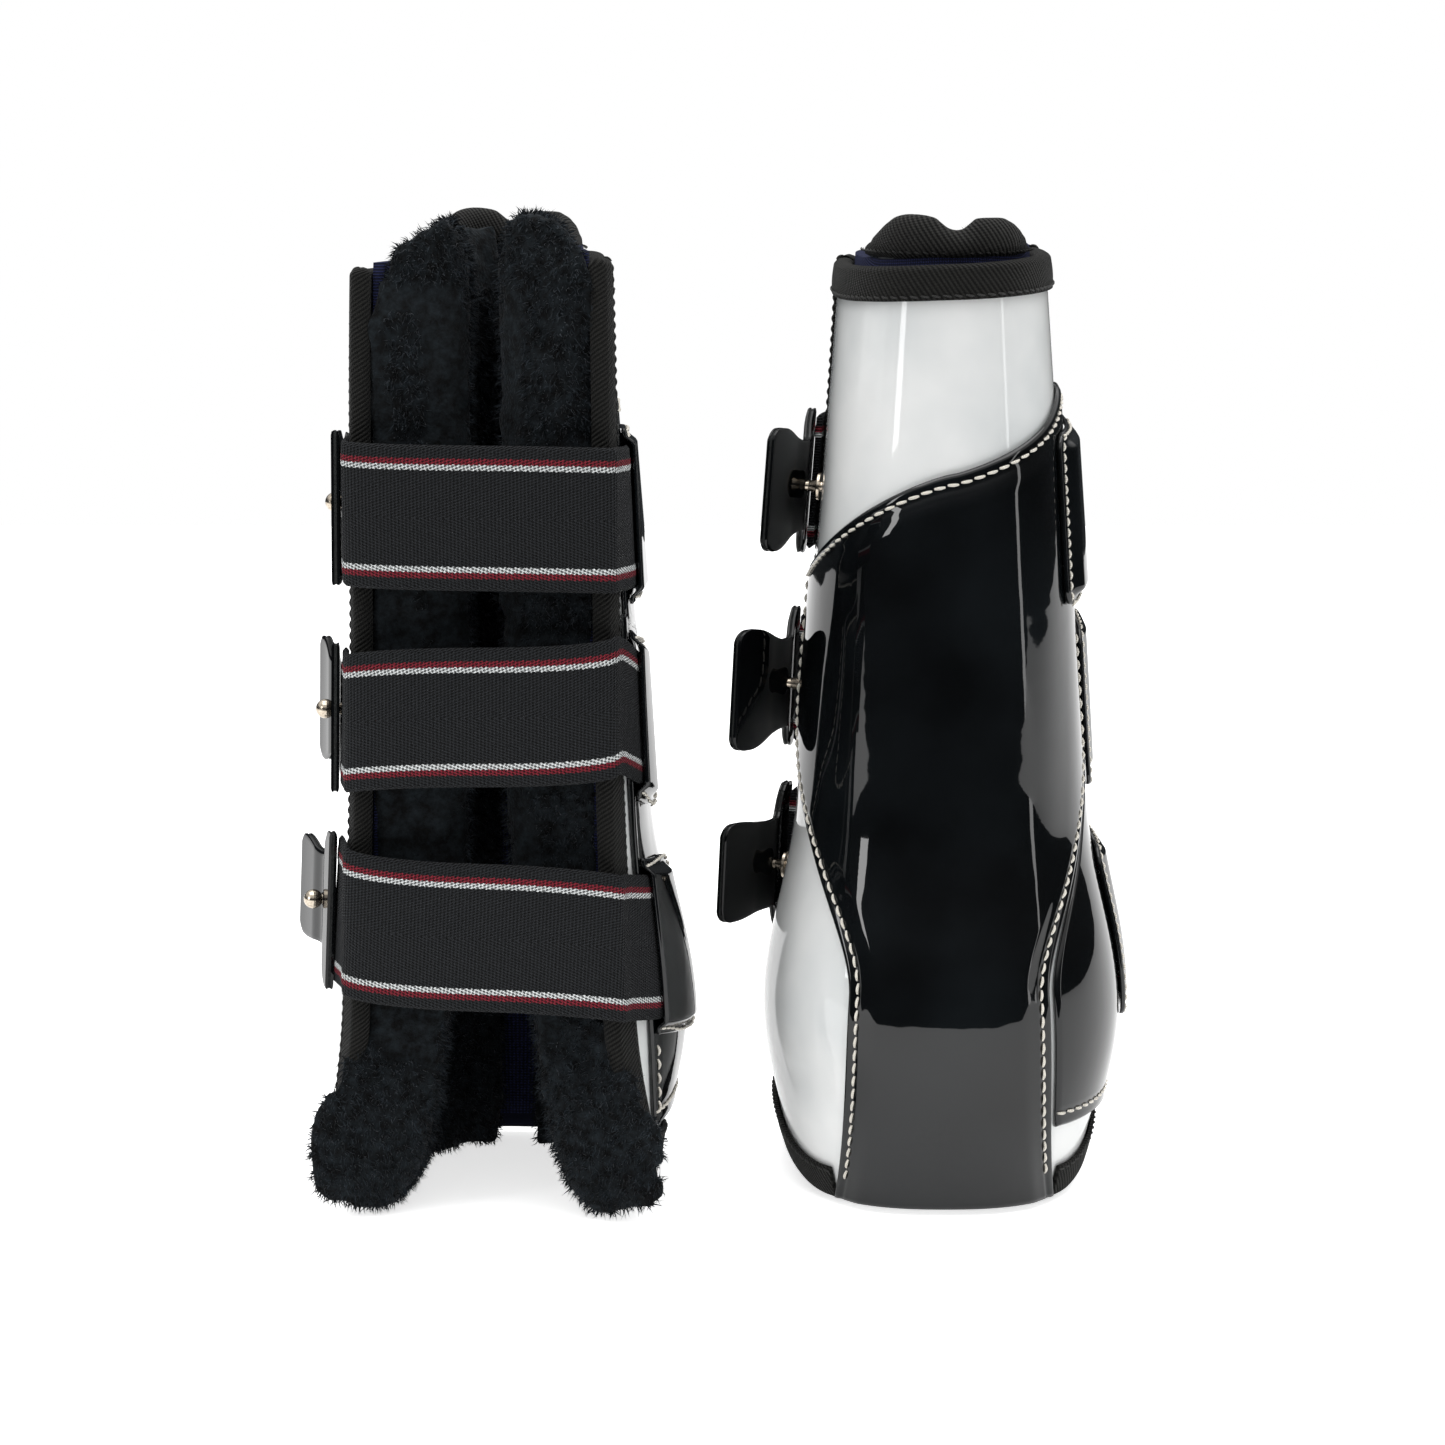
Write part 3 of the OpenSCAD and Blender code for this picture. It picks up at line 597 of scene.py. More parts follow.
def linear(colour):
    """An sRGB hex colour as linear numbers with an alpha of 1."""
    parts = [int(colour[i : i + 2], 16) / 255 for i in (1, 3, 5)]
    return tuple(p / 12.92 if p <= 0.04045 else ((p + 0.055) / 1.055) ** 2.4 for p in parts) + (1.0,)


def add(tree, kind, inputs=None, stops=(), **settings):
    """Adds a shader node with its settings. An input is set to a value, or linked to a socket or to a node's
    first output. stops are a colour ramp's positions and hex colours."""
    node = tree.nodes.new("ShaderNode" + kind)
    for name, value in settings.items():
        setattr(node, name, value)
    for name, value in (inputs or {}).items():
        if isinstance(value, bpy.types.Node):
            value = value.outputs[0]
        if isinstance(value, bpy.types.NodeSocket):
            tree.links.new(value, node.inputs[name])
        else:
            node.inputs[name].default_value = value
    if stops:
        elements = node.color_ramp.elements
        while len(elements) < len(stops):
            elements.new(0.5)
        for element, (position, colour) in zip(elements, stops):
            element.position = position
            element.color = linear(colour)
    return node


def new_material(name):
    """An empty material and its node tree."""
    material = bpy.data.materials.new(name)
    material.use_nodes = True
    material.node_tree.nodes.clear()
    return material, material.node_tree


def in_mm(tree):
    """The place on the object, in millimetres."""
    where = add(tree, "TexCoord").outputs["Object"]
    return add(tree, "VectorMath", {0: where, 1: (1000, 1000, 1000)}, operation="MULTIPLY")


def on_cloth(tree):
    """The place on the cloth, in millimetres: X along it and Y across it."""
    where = add(tree, "UVMap", uv_map="weave")
    return add(tree, "VectorMath", {0: where, 1: (10, 10, 0)}, operation="MULTIPLY")


def ribs(tree, where, way, pitch):
    """Ribs across a direction at a real pitch, as numbers from -1 to 1."""
    turns = tuple(2 * math.pi / pitch * part for part in way)
    along = add(tree, "VectorMath", {0: where, 1: turns}, operation="DOT_PRODUCT")
    return add(tree, "Math", {0: along.outputs["Value"]}, operation="SINE")


def patent(name, dark, pale, wave, gloss=1.0):
    """Patent leather: split leather under a poured polyurethane gloss. The coat gives sharp lights with a
    faint wave in them, and the colour below drifts a little. wave is the wave's height in millimetres."""
    material, tree = new_material(name)
    where = in_mm(tree)
    drift = add(tree, "TexNoise", {"Vector": where, "Scale": 1 / 38, "Detail": 3.0})
    peel = add(tree, "TexNoise", {"Vector": where, "Scale": 1 / 9, "Detail": 1.0})
    fine = add(tree, "TexNoise", {"Vector": where, "Scale": 1 / 1.4, "Detail": 2.0})
    height = add(tree, "Math", {0: fine, 1: 0.04, 2: peel}, operation="MULTIPLY_ADD")
    relief = add(tree, "Bump", {"Height": height, "Distance": wave / 1000, "Strength": 1.0})
    shader = add(tree, "BsdfPrincipled", {
        "Base Color": add(tree, "ValToRGB", {"Fac": drift}, stops=[(0.35, dark), (0.65, pale)]),
        "Roughness": 0.5,
        "Specular IOR Level": 0.0,
        "Coat IOR": 1.5,
        "Coat Weight": gloss,
        "Coat Roughness": 0.03,
        "Normal": relief,
        "Coat Normal": relief,
    })
    add(tree, "OutputMaterial", {"Surface": shader})
    return material


def twill(name, dark, pale):
    """Twill tape: cotton yarns woven over two and under one, which gives slanting ridges 1.1 mm apart with
    the single yarns showing as a finer step along each ridge."""
    material, tree = new_material(name)
    where = on_cloth(tree)
    fuzz = add(tree, "TexNoise", {"Vector": in_mm(tree), "Scale": 1 / 0.7, "Detail": 3.0})
    ridge = ribs(tree, where, (0.85, 0.53, 0), 1.1)
    yarn = ribs(tree, where, (0.2, -0.98, 0), 0.7)
    woven = add(tree, "Math", {0: yarn, 1: 0.35, 2: ridge}, operation="MULTIPLY_ADD")
    height = add(tree, "Math", {0: fuzz, 1: 0.8, 2: woven}, operation="MULTIPLY_ADD")
    shade = add(tree, "MapRange", {"Value": height, "To Min": 0.3, "To Max": 0.8})
    shader = add(tree, "BsdfPrincipled", {
        "Base Color": add(tree, "ValToRGB", {"Fac": shade}, stops=[(0.3, dark), (0.75, pale)]),
        "Roughness": 0.9,
        "Specular IOR Level": 0.2,
        "Sheen Weight": 0.04,
        "Sheen Roughness": 0.4,
        "Normal": add(tree, "Bump", {"Height": height, "Distance": 0.16 / 1000, "Strength": 1.0}),
    })
    add(tree, "OutputMaterial", {"Surface": shader})
    return material


def fleece(name, dark, pale, sheen):
    """Fleece: sheared synthetic pile on a knitted back. Its fibres end at slightly different heights, so the
    surface is matt and patchy, and its sheen makes it a little paler where it catches the light. The paler
    patches in its colour are painted highlights, laid at random by noise."""
    material, tree = new_material(name)
    where = in_mm(tree)
    # the pale patches of this noise are painted highlights
    painted_highlight_patches = add(tree, "TexNoise", {"Vector": where, "Scale": 1 / 3.2, "Detail": 4.0, "Roughness": 0.65})
    height = add(tree, "TexNoise", {"Vector": where, "Scale": 1 / 0.8, "Detail": 3.0})
    shader = add(tree, "BsdfPrincipled", {
        "Base Color": add(tree, "ValToRGB", {"Fac": painted_highlight_patches}, stops=[(0.38, dark), (0.68, pale)]),
        "Roughness": 0.95,
        "Specular IOR Level": 0.2,
        "Sheen Weight": sheen,
        "Sheen Roughness": 0.35,
        "Sheen Tint": linear("#9A9EA4"),
        "Normal": add(tree, "Bump", {"Height": height, "Distance": 0.5 / 1000, "Strength": 1.0}),
    })
    add(tree, "OutputMaterial", {"Surface": shader})
    return material


def knitted_elastic(colours):
    """Knitted elastic: rubber warps covered in polyester, knitted in columns 1 mm wide with rows of loops
    across them. The stripes are the same knit in dyed yarn, so their edges step from loop to loop."""
    material, tree = new_material("striped_knitted_elastic")
    where = on_cloth(tree)
    columns = ribs(tree, where, (1, 0, 0), 1.0)
    rows = ribs(tree, where, (0.35, 1, 0), 0.8)
    fuzz = add(tree, "TexNoise", {"Vector": in_mm(tree), "Scale": 1 / 0.8, "Detail": 3.0})
    steps = add(tree, "Math", {0: ribs(tree, where, (1, 0, 0), 1.4), 1: 0.014}, operation="MULTIPLY")
    # the ramp spans 10 mm from the strap's nearer edge, so its positions are centimetres
    from_edge = add(tree, "SeparateXYZ", {0: where}).outputs["Y"]
    place = add(tree, "Math", {0: from_edge, 1: 0.1, 2: steps}, operation="MULTIPLY_ADD")
    bands = add(tree, "ValToRGB", {"Fac": place}, stops=[
        (0.0, colours.elastic), (0.34, colours.stripe), (0.505, colours.edging), (0.655, colours.elastic),
    ])
    bands.color_ramp.interpolation = "CONSTANT"
    loops = add(tree, "Math", {0: rows, 1: 1.1, 2: columns}, operation="MULTIPLY_ADD")
    height = add(tree, "Math", {0: loops, 1: fuzz}, operation="ADD")
    depth = add(tree, "MapRange", {"Value": height, "To Min": 0.35, "To Max": 0.65})
    shade = add(tree, "ValToRGB", {"Fac": depth}, stops=[(0.32, "#2E2E2E"), (0.6, "#FFFFFF")])
    tinted = add(tree, "Mix", {0: 1.0, 6: bands, 7: shade}, data_type="RGBA", blend_type="MULTIPLY")
    shader = add(tree, "BsdfPrincipled", {
        "Base Color": tinted.outputs[2],
        "Roughness": 0.9,
        "Specular IOR Level": 0.15,
        "Sheen Weight": 0.03,
        "Normal": add(tree, "Bump", {"Height": height, "Distance": 0.2 / 1000, "Strength": 1.0}),
    })
    add(tree, "OutputMaterial", {"Surface": shader})
    return material


def neoprene(colours):
    """Neoprene: foamed rubber with a navy knitted face, in rows 1 mm apart."""
    material, tree = new_material("jersey_faced_neoprene")
    where = on_cloth(tree)
    rows, columns = ribs(tree, where, (1, 0, 0), 1.0), ribs(tree, where, (0, 1, 0), 0.8)
    height = add(tree, "Math", {0: rows, 1: columns}, operation="ADD")
    shade = add(tree, "MapRange", {"Value": height, "To Min": 0.2, "To Max": 0.8})
    shader = add(tree, "BsdfPrincipled", {
        "Base Color": add(tree, "ValToRGB", {"Fac": shade}, stops=[(0.3, "#101327"), (0.8, colours.core)]),
        "Roughness": 0.85,
        "Specular IOR Level": 0.2,
        "Normal": add(tree, "Bump", {"Height": height, "Distance": 0.1 / 1000, "Strength": 1.0}),
    })
    add(tree, "OutputMaterial", {"Surface": shader})
    return material


def sewing_thread(name, dark, pale):
    """Sewing thread: bonded polyester twisted from three plies, so it shows fine slanting lines."""
    material, tree = new_material(name)
    plies = ribs(tree, on_cloth(tree), (1, 1.2, 0), 0.55)
    shade = add(tree, "MapRange", {"Value": plies, "To Min": 0.3, "To Max": 0.8})
    shader = add(tree, "BsdfPrincipled", {
        "Base Color": add(tree, "ValToRGB", {"Fac": shade}, stops=[(0.2, dark), (0.7, pale)]),
        "Roughness": 0.55,
        "Normal": add(tree, "Bump", {"Height": plies, "Distance": 0.05 / 1000, "Strength": 1.0}),
    })
    add(tree, "OutputMaterial", {"Surface": shader})
    return material


def rubbed_metal(name, dark, pale, grain, detail, smooth, rough):
    """A plated metal with fine rubs of a size in millimetres: nickel on turned brass is warm and bright, and
    zinc on pressed steel is grey and duller."""
    material, tree = new_material(name)
    rub = add(tree, "TexNoise", {"Vector": in_mm(tree), "Scale": 1 / grain, "Detail": detail})
    shader = add(tree, "BsdfPrincipled", {
        "Base Color": add(tree, "ValToRGB", {"Fac": rub}, stops=[(0.3, dark), (0.7, pale)]),
        "Metallic": 1.0,
        "Roughness": add(tree, "MapRange", {"Value": rub, "To Min": smooth, "To Max": rough}),
    })
    add(tree, "OutputMaterial", {"Surface": shader})
    return material


def leather_core():
    """Pressed leather fibre, seen at the tabs' cut edges: grey-black and fuzzy."""
    material, tree = new_material("pressed_leather_core")
    fibre = add(tree, "TexNoise", {"Vector": in_mm(tree), "Scale": 1 / 0.9, "Detail": 5.0, "Roughness": 0.7})
    shader = add(tree, "BsdfPrincipled", {
        "Base Color": add(tree, "ValToRGB", {"Fac": fibre}, stops=[(0.3, "#0C0D0D"), (0.75, "#2E3131")]),
        "Roughness": 0.95,
        "Normal": add(tree, "Bump", {"Height": fibre, "Distance": 0.4 / 1000, "Strength": 1.0}),
    })
    add(tree, "OutputMaterial", {"Surface": shader})
    return material


def hook_tape():
    """Hook tape: moulded nylon hooks in rows 1.5 mm apart."""
    material, tree = new_material("nylon_hook_tape")
    where = in_mm(tree)
    rows, columns = ribs(tree, where, (0, 0, 1), 1.5), ribs(tree, where, (1, 1, 0), 1.5)
    hooks = add(tree, "Math", {0: rows, 1: columns}, operation="MULTIPLY")
    shade = add(tree, "MapRange", {"Value": hooks, "To Min": 0.0, "To Max": 1.0})
    shader = add(tree, "BsdfPrincipled", {
        "Base Color": add(tree, "ValToRGB", {"Fac": shade}, stops=[(0.3, "#0B0B0B"), (0.7, "#242424")]),
        "Roughness": 0.6,
        "Normal": add(tree, "Bump", {"Height": hooks, "Distance": 0.4 / 1000, "Strength": 1.0}),
    })
    add(tree, "OutputMaterial", {"Surface": shader})
    return material


def make_materials(colours):
    """Every finish, by name."""
    return {
        "white_patent": patent("white_patent_leather", "#DDE0E0", colours.shell, 0.02),
        "black_patent": patent("black_patent_leather", colours.patent, "#101315", 0.05),
        "tab_patent": patent("worn_patent_tab_leather", colours.patent, "#0E1012", 0.04, gloss=0.55),
        "twill": twill("woven_twill_tape", "#0B0B0A", colours.twill),
        "collar_twill": twill("padded_twill_cover", "#0B0B0B", "#2C2C2A"),
        "elastic": knitted_elastic(colours),
        # the pale colour of both fleece finishes is a painted highlight, laid in patches by noise
        "fleece": fleece("sheared_fleece_pile", "#050607", colours.fleece, 0.2),
        "fibre": fleece("fleece_fibres_painted_highlights", "#07090A", "#2B3238", 0.35),
        "neoprene": neoprene(colours),
        "thread": sewing_thread("bonded_polyester_thread", "#D6CFC0", colours.thread),
        "dark_thread": sewing_thread("black_polyester_thread", "#0A0A0A", "#2B2B29"),
        "nickel": rubbed_metal("nickel_plated_brass", "#A89C8C", colours.nickel, 0.6, 4.0, 0.12, 0.28),
        "washer": rubbed_metal("zinc_plated_steel", "#7C7E80", "#A3A5A6", 0.5, 3.0, 0.3, 0.45),
        "tab_core": leather_core(),
        "hook_tape": hook_tape(),
    }


MATERIALS = {}


# ---- what a user would change ----


class BootSizes(bpy.types.PropertyGroup):
    """Sizes of the finer detail."""

    thread: bpy.props.FloatProperty(
        name="Thread", description="Thickness of the sewing thread", default=0.0009, unit="LENGTH"
    )
    stitch: bpy.props.FloatProperty(
        name="Stitch", description="Length of one stitch", default=0.0031, unit="LENGTH"
    )
    stitch_pitch: bpy.props.FloatProperty(
        name="Stitch pitch", description="Distance from one stitch to the next", default=0.0037, unit="LENGTH"
    )
    seam_inset: bpy.props.FloatProperty(
        name="Seam inset", description="Distance from a patent edge to its seam", default=0.003, unit="LENGTH"
    )
    fibre: bpy.props.FloatProperty(
        name="Fibre", description="Length of the fleece fibres", default=0.0024, unit="LENGTH"
    )
    fibres: bpy.props.IntProperty(
        name="Fibres", description="Number of fibre tufts on each half of a liner", default=30000, min=0
    )


def colour_property(name, description, default):
    """A colour that a user can change, as a hex value."""
    return bpy.props.StringProperty(name=name, description=description, default=default)


class BootColours(bpy.types.PropertyGroup):
    """Colours of the finishes, as sRGB hex values."""

    shell: colour_property("Shell", "White patent leather", "#F0F1F0")
    patent: colour_property("Patent", "Black patent leather", "#060708")
    elastic: colour_property("Elastic", "Ground of the straps", "#2A2C2F")
    stripe: colour_property("Stripe", "Outer stripe of the straps", "#8E2A38")
    edging: colour_property("Edging", "Inner stripe of the straps", "#F6FAFA")
    twill: colour_property("Twill", "Twill tape", "#232321")
    # the pale of the fleece's patches, which are painted highlights
    fleece: colour_property("Fleece", "Fleece pile", "#1D2327")
    core: colour_property("Core", "Neoprene of the liner", "#252B52")
    thread: colour_property("Thread", "Sewing thread on the patent pieces", "#FFFBF2")
    nickel: colour_property("Nickel", "Ball studs", "#D9CDBC")


class BootSettings(bpy.types.PropertyGroup):
    """Everything a user would change."""

    sizes: bpy.props.PointerProperty(type=BootSizes)
    colours: bpy.props.PointerProperty(type=BootColours)


def settings():
    """The scene's own settings for the boots."""
    return bpy.context.scene.tendon_boots


# ---- one operator for each piece or group of like pieces ----


class BootOperator:
    """What every operator here shares."""

    bl_options = {"REGISTER", "UNDO"}

    def execute(self, context):
        for boot in BOOTS:
            self.build(boot)
        return {"FINISHED"}


class BOOTS_OT_stage(bpy.types.Operator):
    """Makes the camera, the lights, the pale floor and the finishes"""

    bl_idname = "boots.stage"
    bl_label = "Stage and finishes"

    def execute(self, context):
        scene = context.scene
        scene.view_settings.view_transform = "Standard"
        lens = bpy.data.cameras.new("camera")
        lens.sensor_width = 36
        lens.lens = LENS
        camera = bpy.data.objects.new("camera", lens)
        camera.location = CAMERA_AT
        camera.rotation_euler = (math.radians(90 - CAMERA_DIP), 0, 0)
        scene.collection.objects.link(camera)
        scene.camera = camera

        MATERIALS.update(make_materials(settings().colours))
        self.floor(scene)
        self.sky(scene)
        for name, place, size, power in LIGHTS:
            light = bpy.data.lights.new(name, "AREA")
            light.shape = "RECTANGLE"
            light.size, light.size_y = size
            light.energy = power
            lamp = bpy.data.objects.new(name, light)
            lamp.location = place
            aim = np.array(LIGHTS_AIM) - np.array(place)
            lamp.rotation_euler = Vector(aim).to_track_quat("-Z", "Y").to_euler()
            scene.collection.objects.link(lamp)
        return {"FINISHED"}

    def floor(self, scene):
        """A matt white board, which glows a little so that it stays pale around the boots."""
        material, tree = new_material("matt_white_board")
        grain = add(tree, "TexNoise", {"Vector": in_mm(tree), "Scale": 1 / 3.0, "Detail": 3.0})
        seen = add(tree, "LightPath").outputs["Is Camera Ray"]
        shader = add(tree, "BsdfPrincipled", {
            "Base Color": add(tree, "ValToRGB", {"Fac": grain}, stops=[(0.3, "#FAFAFA"), (0.7, "#FFFFFF")]),
            "Roughness": 0.9,
            "Emission Color": (1, 1, 1, 1),
            "Emission Strength": add(tree, "MapRange", {"Value": seen, "To Min": 0.25, "To Max": 0.7}),
        })
        add(tree, "OutputMaterial", {"Surface": shader})
        mesh = bpy.data.meshes.new("floor")
        left, front, right, back = FLOOR
        corners = [(left, front, 0), (right, front, 0), (right, back, 0), (left, back, 0)]
        mesh.from_pydata(corners, [], [(0, 1, 2, 3)])
        mesh.materials.append(material)
        floor = bpy.data.objects.new("floor", mesh)
        scene.collection.objects.link(floor)
        floor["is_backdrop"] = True

    def sky(self, scene):
        """A studio room for the reflections: pale above, dark at eye level. The camera itself sees white."""
        world = bpy.data.worlds.new("studio")
        scene.world = world
        world.use_nodes = True
        tree = world.node_tree
        tree.nodes.clear()
        up = add(tree, "SeparateXYZ", {0: add(tree, "TexCoord").outputs["Generated"]}).outputs["Z"]
        stops = [(0.0, "#D8D8D8"), (0.49, "#B8B8B8"), (0.5, "#303234"), (0.62, "#505254"), (0.75, "#F4F4F4")]
        height = add(tree, "MapRange", {"Value": up, "To Min": 0.5, "To Max": 1.0})
        shade = add(tree, "ValToRGB", {"Fac": height}, stops=stops)
        room = add(tree, "Background", {"Color": shade, "Strength": 1.0})
        white = add(tree, "Background", {"Color": (1, 1, 1, 1), "Strength": 1.0})
        seen = add(tree, "LightPath").outputs["Is Camera Ray"]
        both = add(tree, "MixShader", {0: seen, 1: room, 2: white})
        add(tree, "OutputWorld", {"Surface": both})


class BOOTS_OT_shells(BootOperator, bpy.types.Operator):
    """Moulds the white patent shells"""

    bl_idname = "boots.shells"
    bl_label = "Shells"

    def build(self, boot):
        u = np.linspace(-1, 1, 141)[:, None]
        rise = np.linspace(0, 1, 121)[None, :]
        outer, inner = shell_at(u, rise, 0, boot), shell_at(u, rise, -SHELL_T, boot)
        piece = new_piece(f"{boot}_shell_skin", *slab(outer, inner), boot, MATERIALS["white_patent"])
        # the inside is lined, so the second half of the faces takes the lining's finish
        piece.data.materials.append(MATERIALS["neoprene"])
        skin = (outer.shape[0] - 1) * (outer.shape[1] - 1)
        for face in piece.data.polygons[skin : 2 * skin]:
            face.material_index = 1
        put(piece, f"{boot}_boot", [f"{boot}_shell"])


class BOOTS_OT_overlays(BootOperator, bpy.types.Operator):
    """Cuts and sews the black patent strip over the tendon and the panel beside it"""

    bl_idname = "boots.overlays"
    bl_label = "Strip and panel"

    def build(self, boot):
        self.strip(boot)
        self.panel(boot)

    def strip(self, boot):
        """The strip down the back, with its wing over the medial side and its three seams."""
        inset = settings().sizes.seam_inset * 1000
        s = np.linspace(0, 1, 121)[:, None]
        rise = np.linspace(0, 1, 171)[None, :]
        flat = strip_at(s, rise, LAP_OUT, boot)
        first, last, _, high = edge_distances(flat)
        side = np.minimum(first, last)
        near = np.minimum(side, high)
        # the strip is padded over the tendon, inside its seams
        over_tendon = 1 - blend(np.abs(flat[..., 0]), *TENDON_HALF)
        pad = TENDON_PAD * blend(near, inset + 0.3, inset + 7) * over_tendon
        groove = SEAM_GROOVE * bump(near, inset, 1.4)
        out = LAP_OUT + pad - groove - soft_edge(side, high, CUT_EDGE_ROUND)
        outer, inner = strip_at(s, rise, out, boot), strip_at(s, rise, LAP_GAP, boot)
        piece = new_piece(f"{boot}_strike_strip", *slab(outer, inner), boot, MATERIALS["black_patent"])
        put(piece, f"{boot}_boot", [f"{boot}_tendon_strip"])

        seat = strip_at(s, rise, LAP_OUT - 0.15, boot)
        lateral = inset_line(seat, inset, "first")
        top = inset_line(seat, inset, "high")
        medial = inset_line(seat, inset, "last")
        reach = lateral[:, 2] < top[0, 2]
        paths = [lateral[reach][6:], top, medial[6:][medial[6:, 2] < WING_FROM_Z]]
        self.seams(boot, f"{boot}_strip_seams", paths)

    def panel(self, boot):
        """The panel beside the strip, hemmed at its foot and sewn along its front edge."""
        inset = settings().sizes.seam_inset * 1000
        s = np.linspace(0, 1, 61)[:, None]
        z = np.linspace(PANEL_LOW_Z, WING_FULL_Z, 131)[None, :]
        angle = mix(strip_medial(z) + PANEL_GAP, POCKET_FRONT["lower"], s)
        flat = wall(angle, z, LAP_OUT, boot)
        first, last, low, _ = edge_distances(flat)
        hem_roll = PANEL_HEM_ROLL * bump(low, 1.3, 1.5)
        groove = SEAM_GROOVE * bump(np.minimum(low - 1.5, last), inset, 1.2)
        out = LAP_OUT + hem_roll - groove - soft_edge(np.minimum(first, last), low, 0.5)
        outer, inner = wall(angle, z, out, boot), wall(angle, z, LAP_GAP, boot)
        piece = new_piece(f"{boot}_side_panel", *slab(outer, inner), boot, MATERIALS["black_patent"])
        put(piece, f"{boot}_boot", [f"{boot}_medial_panel"])

        seat = wall(angle, z, LAP_OUT - 0.1, boot)
        hem = inset_line(seat, inset + 1.2, "low")
        front = inset_line(seat, inset, "last")
        pocket_low = POCKET_Z["lower"] - (STRAP_W["lower"] + POCKET_MARGIN) / 2
        below = (front[:, 2] > PANEL_LOW_Z + inset) & (front[:, 2] < pocket_low)
        self.seams(boot, f"{boot}_panel_seams", [hem, front[below]])

    def seams(self, boot, name, paths):
        """Sews pale stitches of the chosen size along the paths."""
        sizes = settings().sizes
        sew(
            name, boot, f"{boot}_boot", paths, wall_normals(boot), MATERIALS["thread"],
            sizes.stitch_pitch * 1000, sizes.stitch * 1000, sizes.thread * 1000,
        )


class BOOTS_OT_pockets(BootOperator, bpy.types.Operator):
    """Sews the raised pockets over the ends of the straps"""

    bl_idname = "boots.pockets"
    bl_label = "Pockets"

    def build(self, boot):
        sizes = settings().sizes
        for i in STRAPS:
            half = (STRAP_W[i] + POCKET_MARGIN) / 2
            s = np.linspace(0, 1, 49)[:, None]
            t = np.linspace(-1, 1, 65)[None, :]
            drop = t * (half + 1.5)
            # the sewn side is cut with round corners
            cut = POCKET_CUT * (1 - np.sqrt(1 - np.clip((np.abs(t) - 0.8) / 0.2, 0, 1) ** 2))
            angle = mix(POCKET_FROM[i] - 2 + cut, POCKET_FRONT[i] - 1, s)
            swell = blend(angle, POCKET_FROM[i] + 1, POCKET_FROM[i] + POCKET_ROUND + 3)
            swell = swell * blend(np.abs(drop), half, STRAP_W[i] / 2)
            z = tail_mid(i, angle) + drop
            under = LAP_OUT + LAP_GAP + (POCKET_IN - LAP_OUT - LAP_GAP) * swell
            flat = wall(angle, z, under + PATENT_T, boot)
            first, last, low, high = edge_distances(flat)
            worn = soft_edge(np.minimum(first, last), np.minimum(low, high), CUT_EDGE_ROUND)
            outer, inner = wall(angle, z, under + PATENT_T - worn, boot), wall(angle, z, under, boot)
            name = f"{boot}_{i}_strap_pocket"
            piece = new_piece(name, *slab(outer, inner), boot, MATERIALS["black_patent"])
            put(piece, f"{boot}_boot", [f"{boot}_{i}_pocket"])
            seat = wall(angle, z, under + PATENT_T, boot)
            lower, side, upper = (inset_line(seat, 2.0, edge) for edge in ("low", "first", "high"))
            inside = (side[:, 2] > lower[0, 2]) & (side[:, 2] < upper[0, 2])
            loop = np.concatenate([lower[::-1], side[inside], upper])
            sew(
                f"{boot}_{i}_pocket_seam", boot, f"{boot}_boot", [loop], wall_normals(boot),
                MATERIALS["thread"], sizes.stitch_pitch * 800, sizes.stitch * 800, sizes.thread * 900,
            )


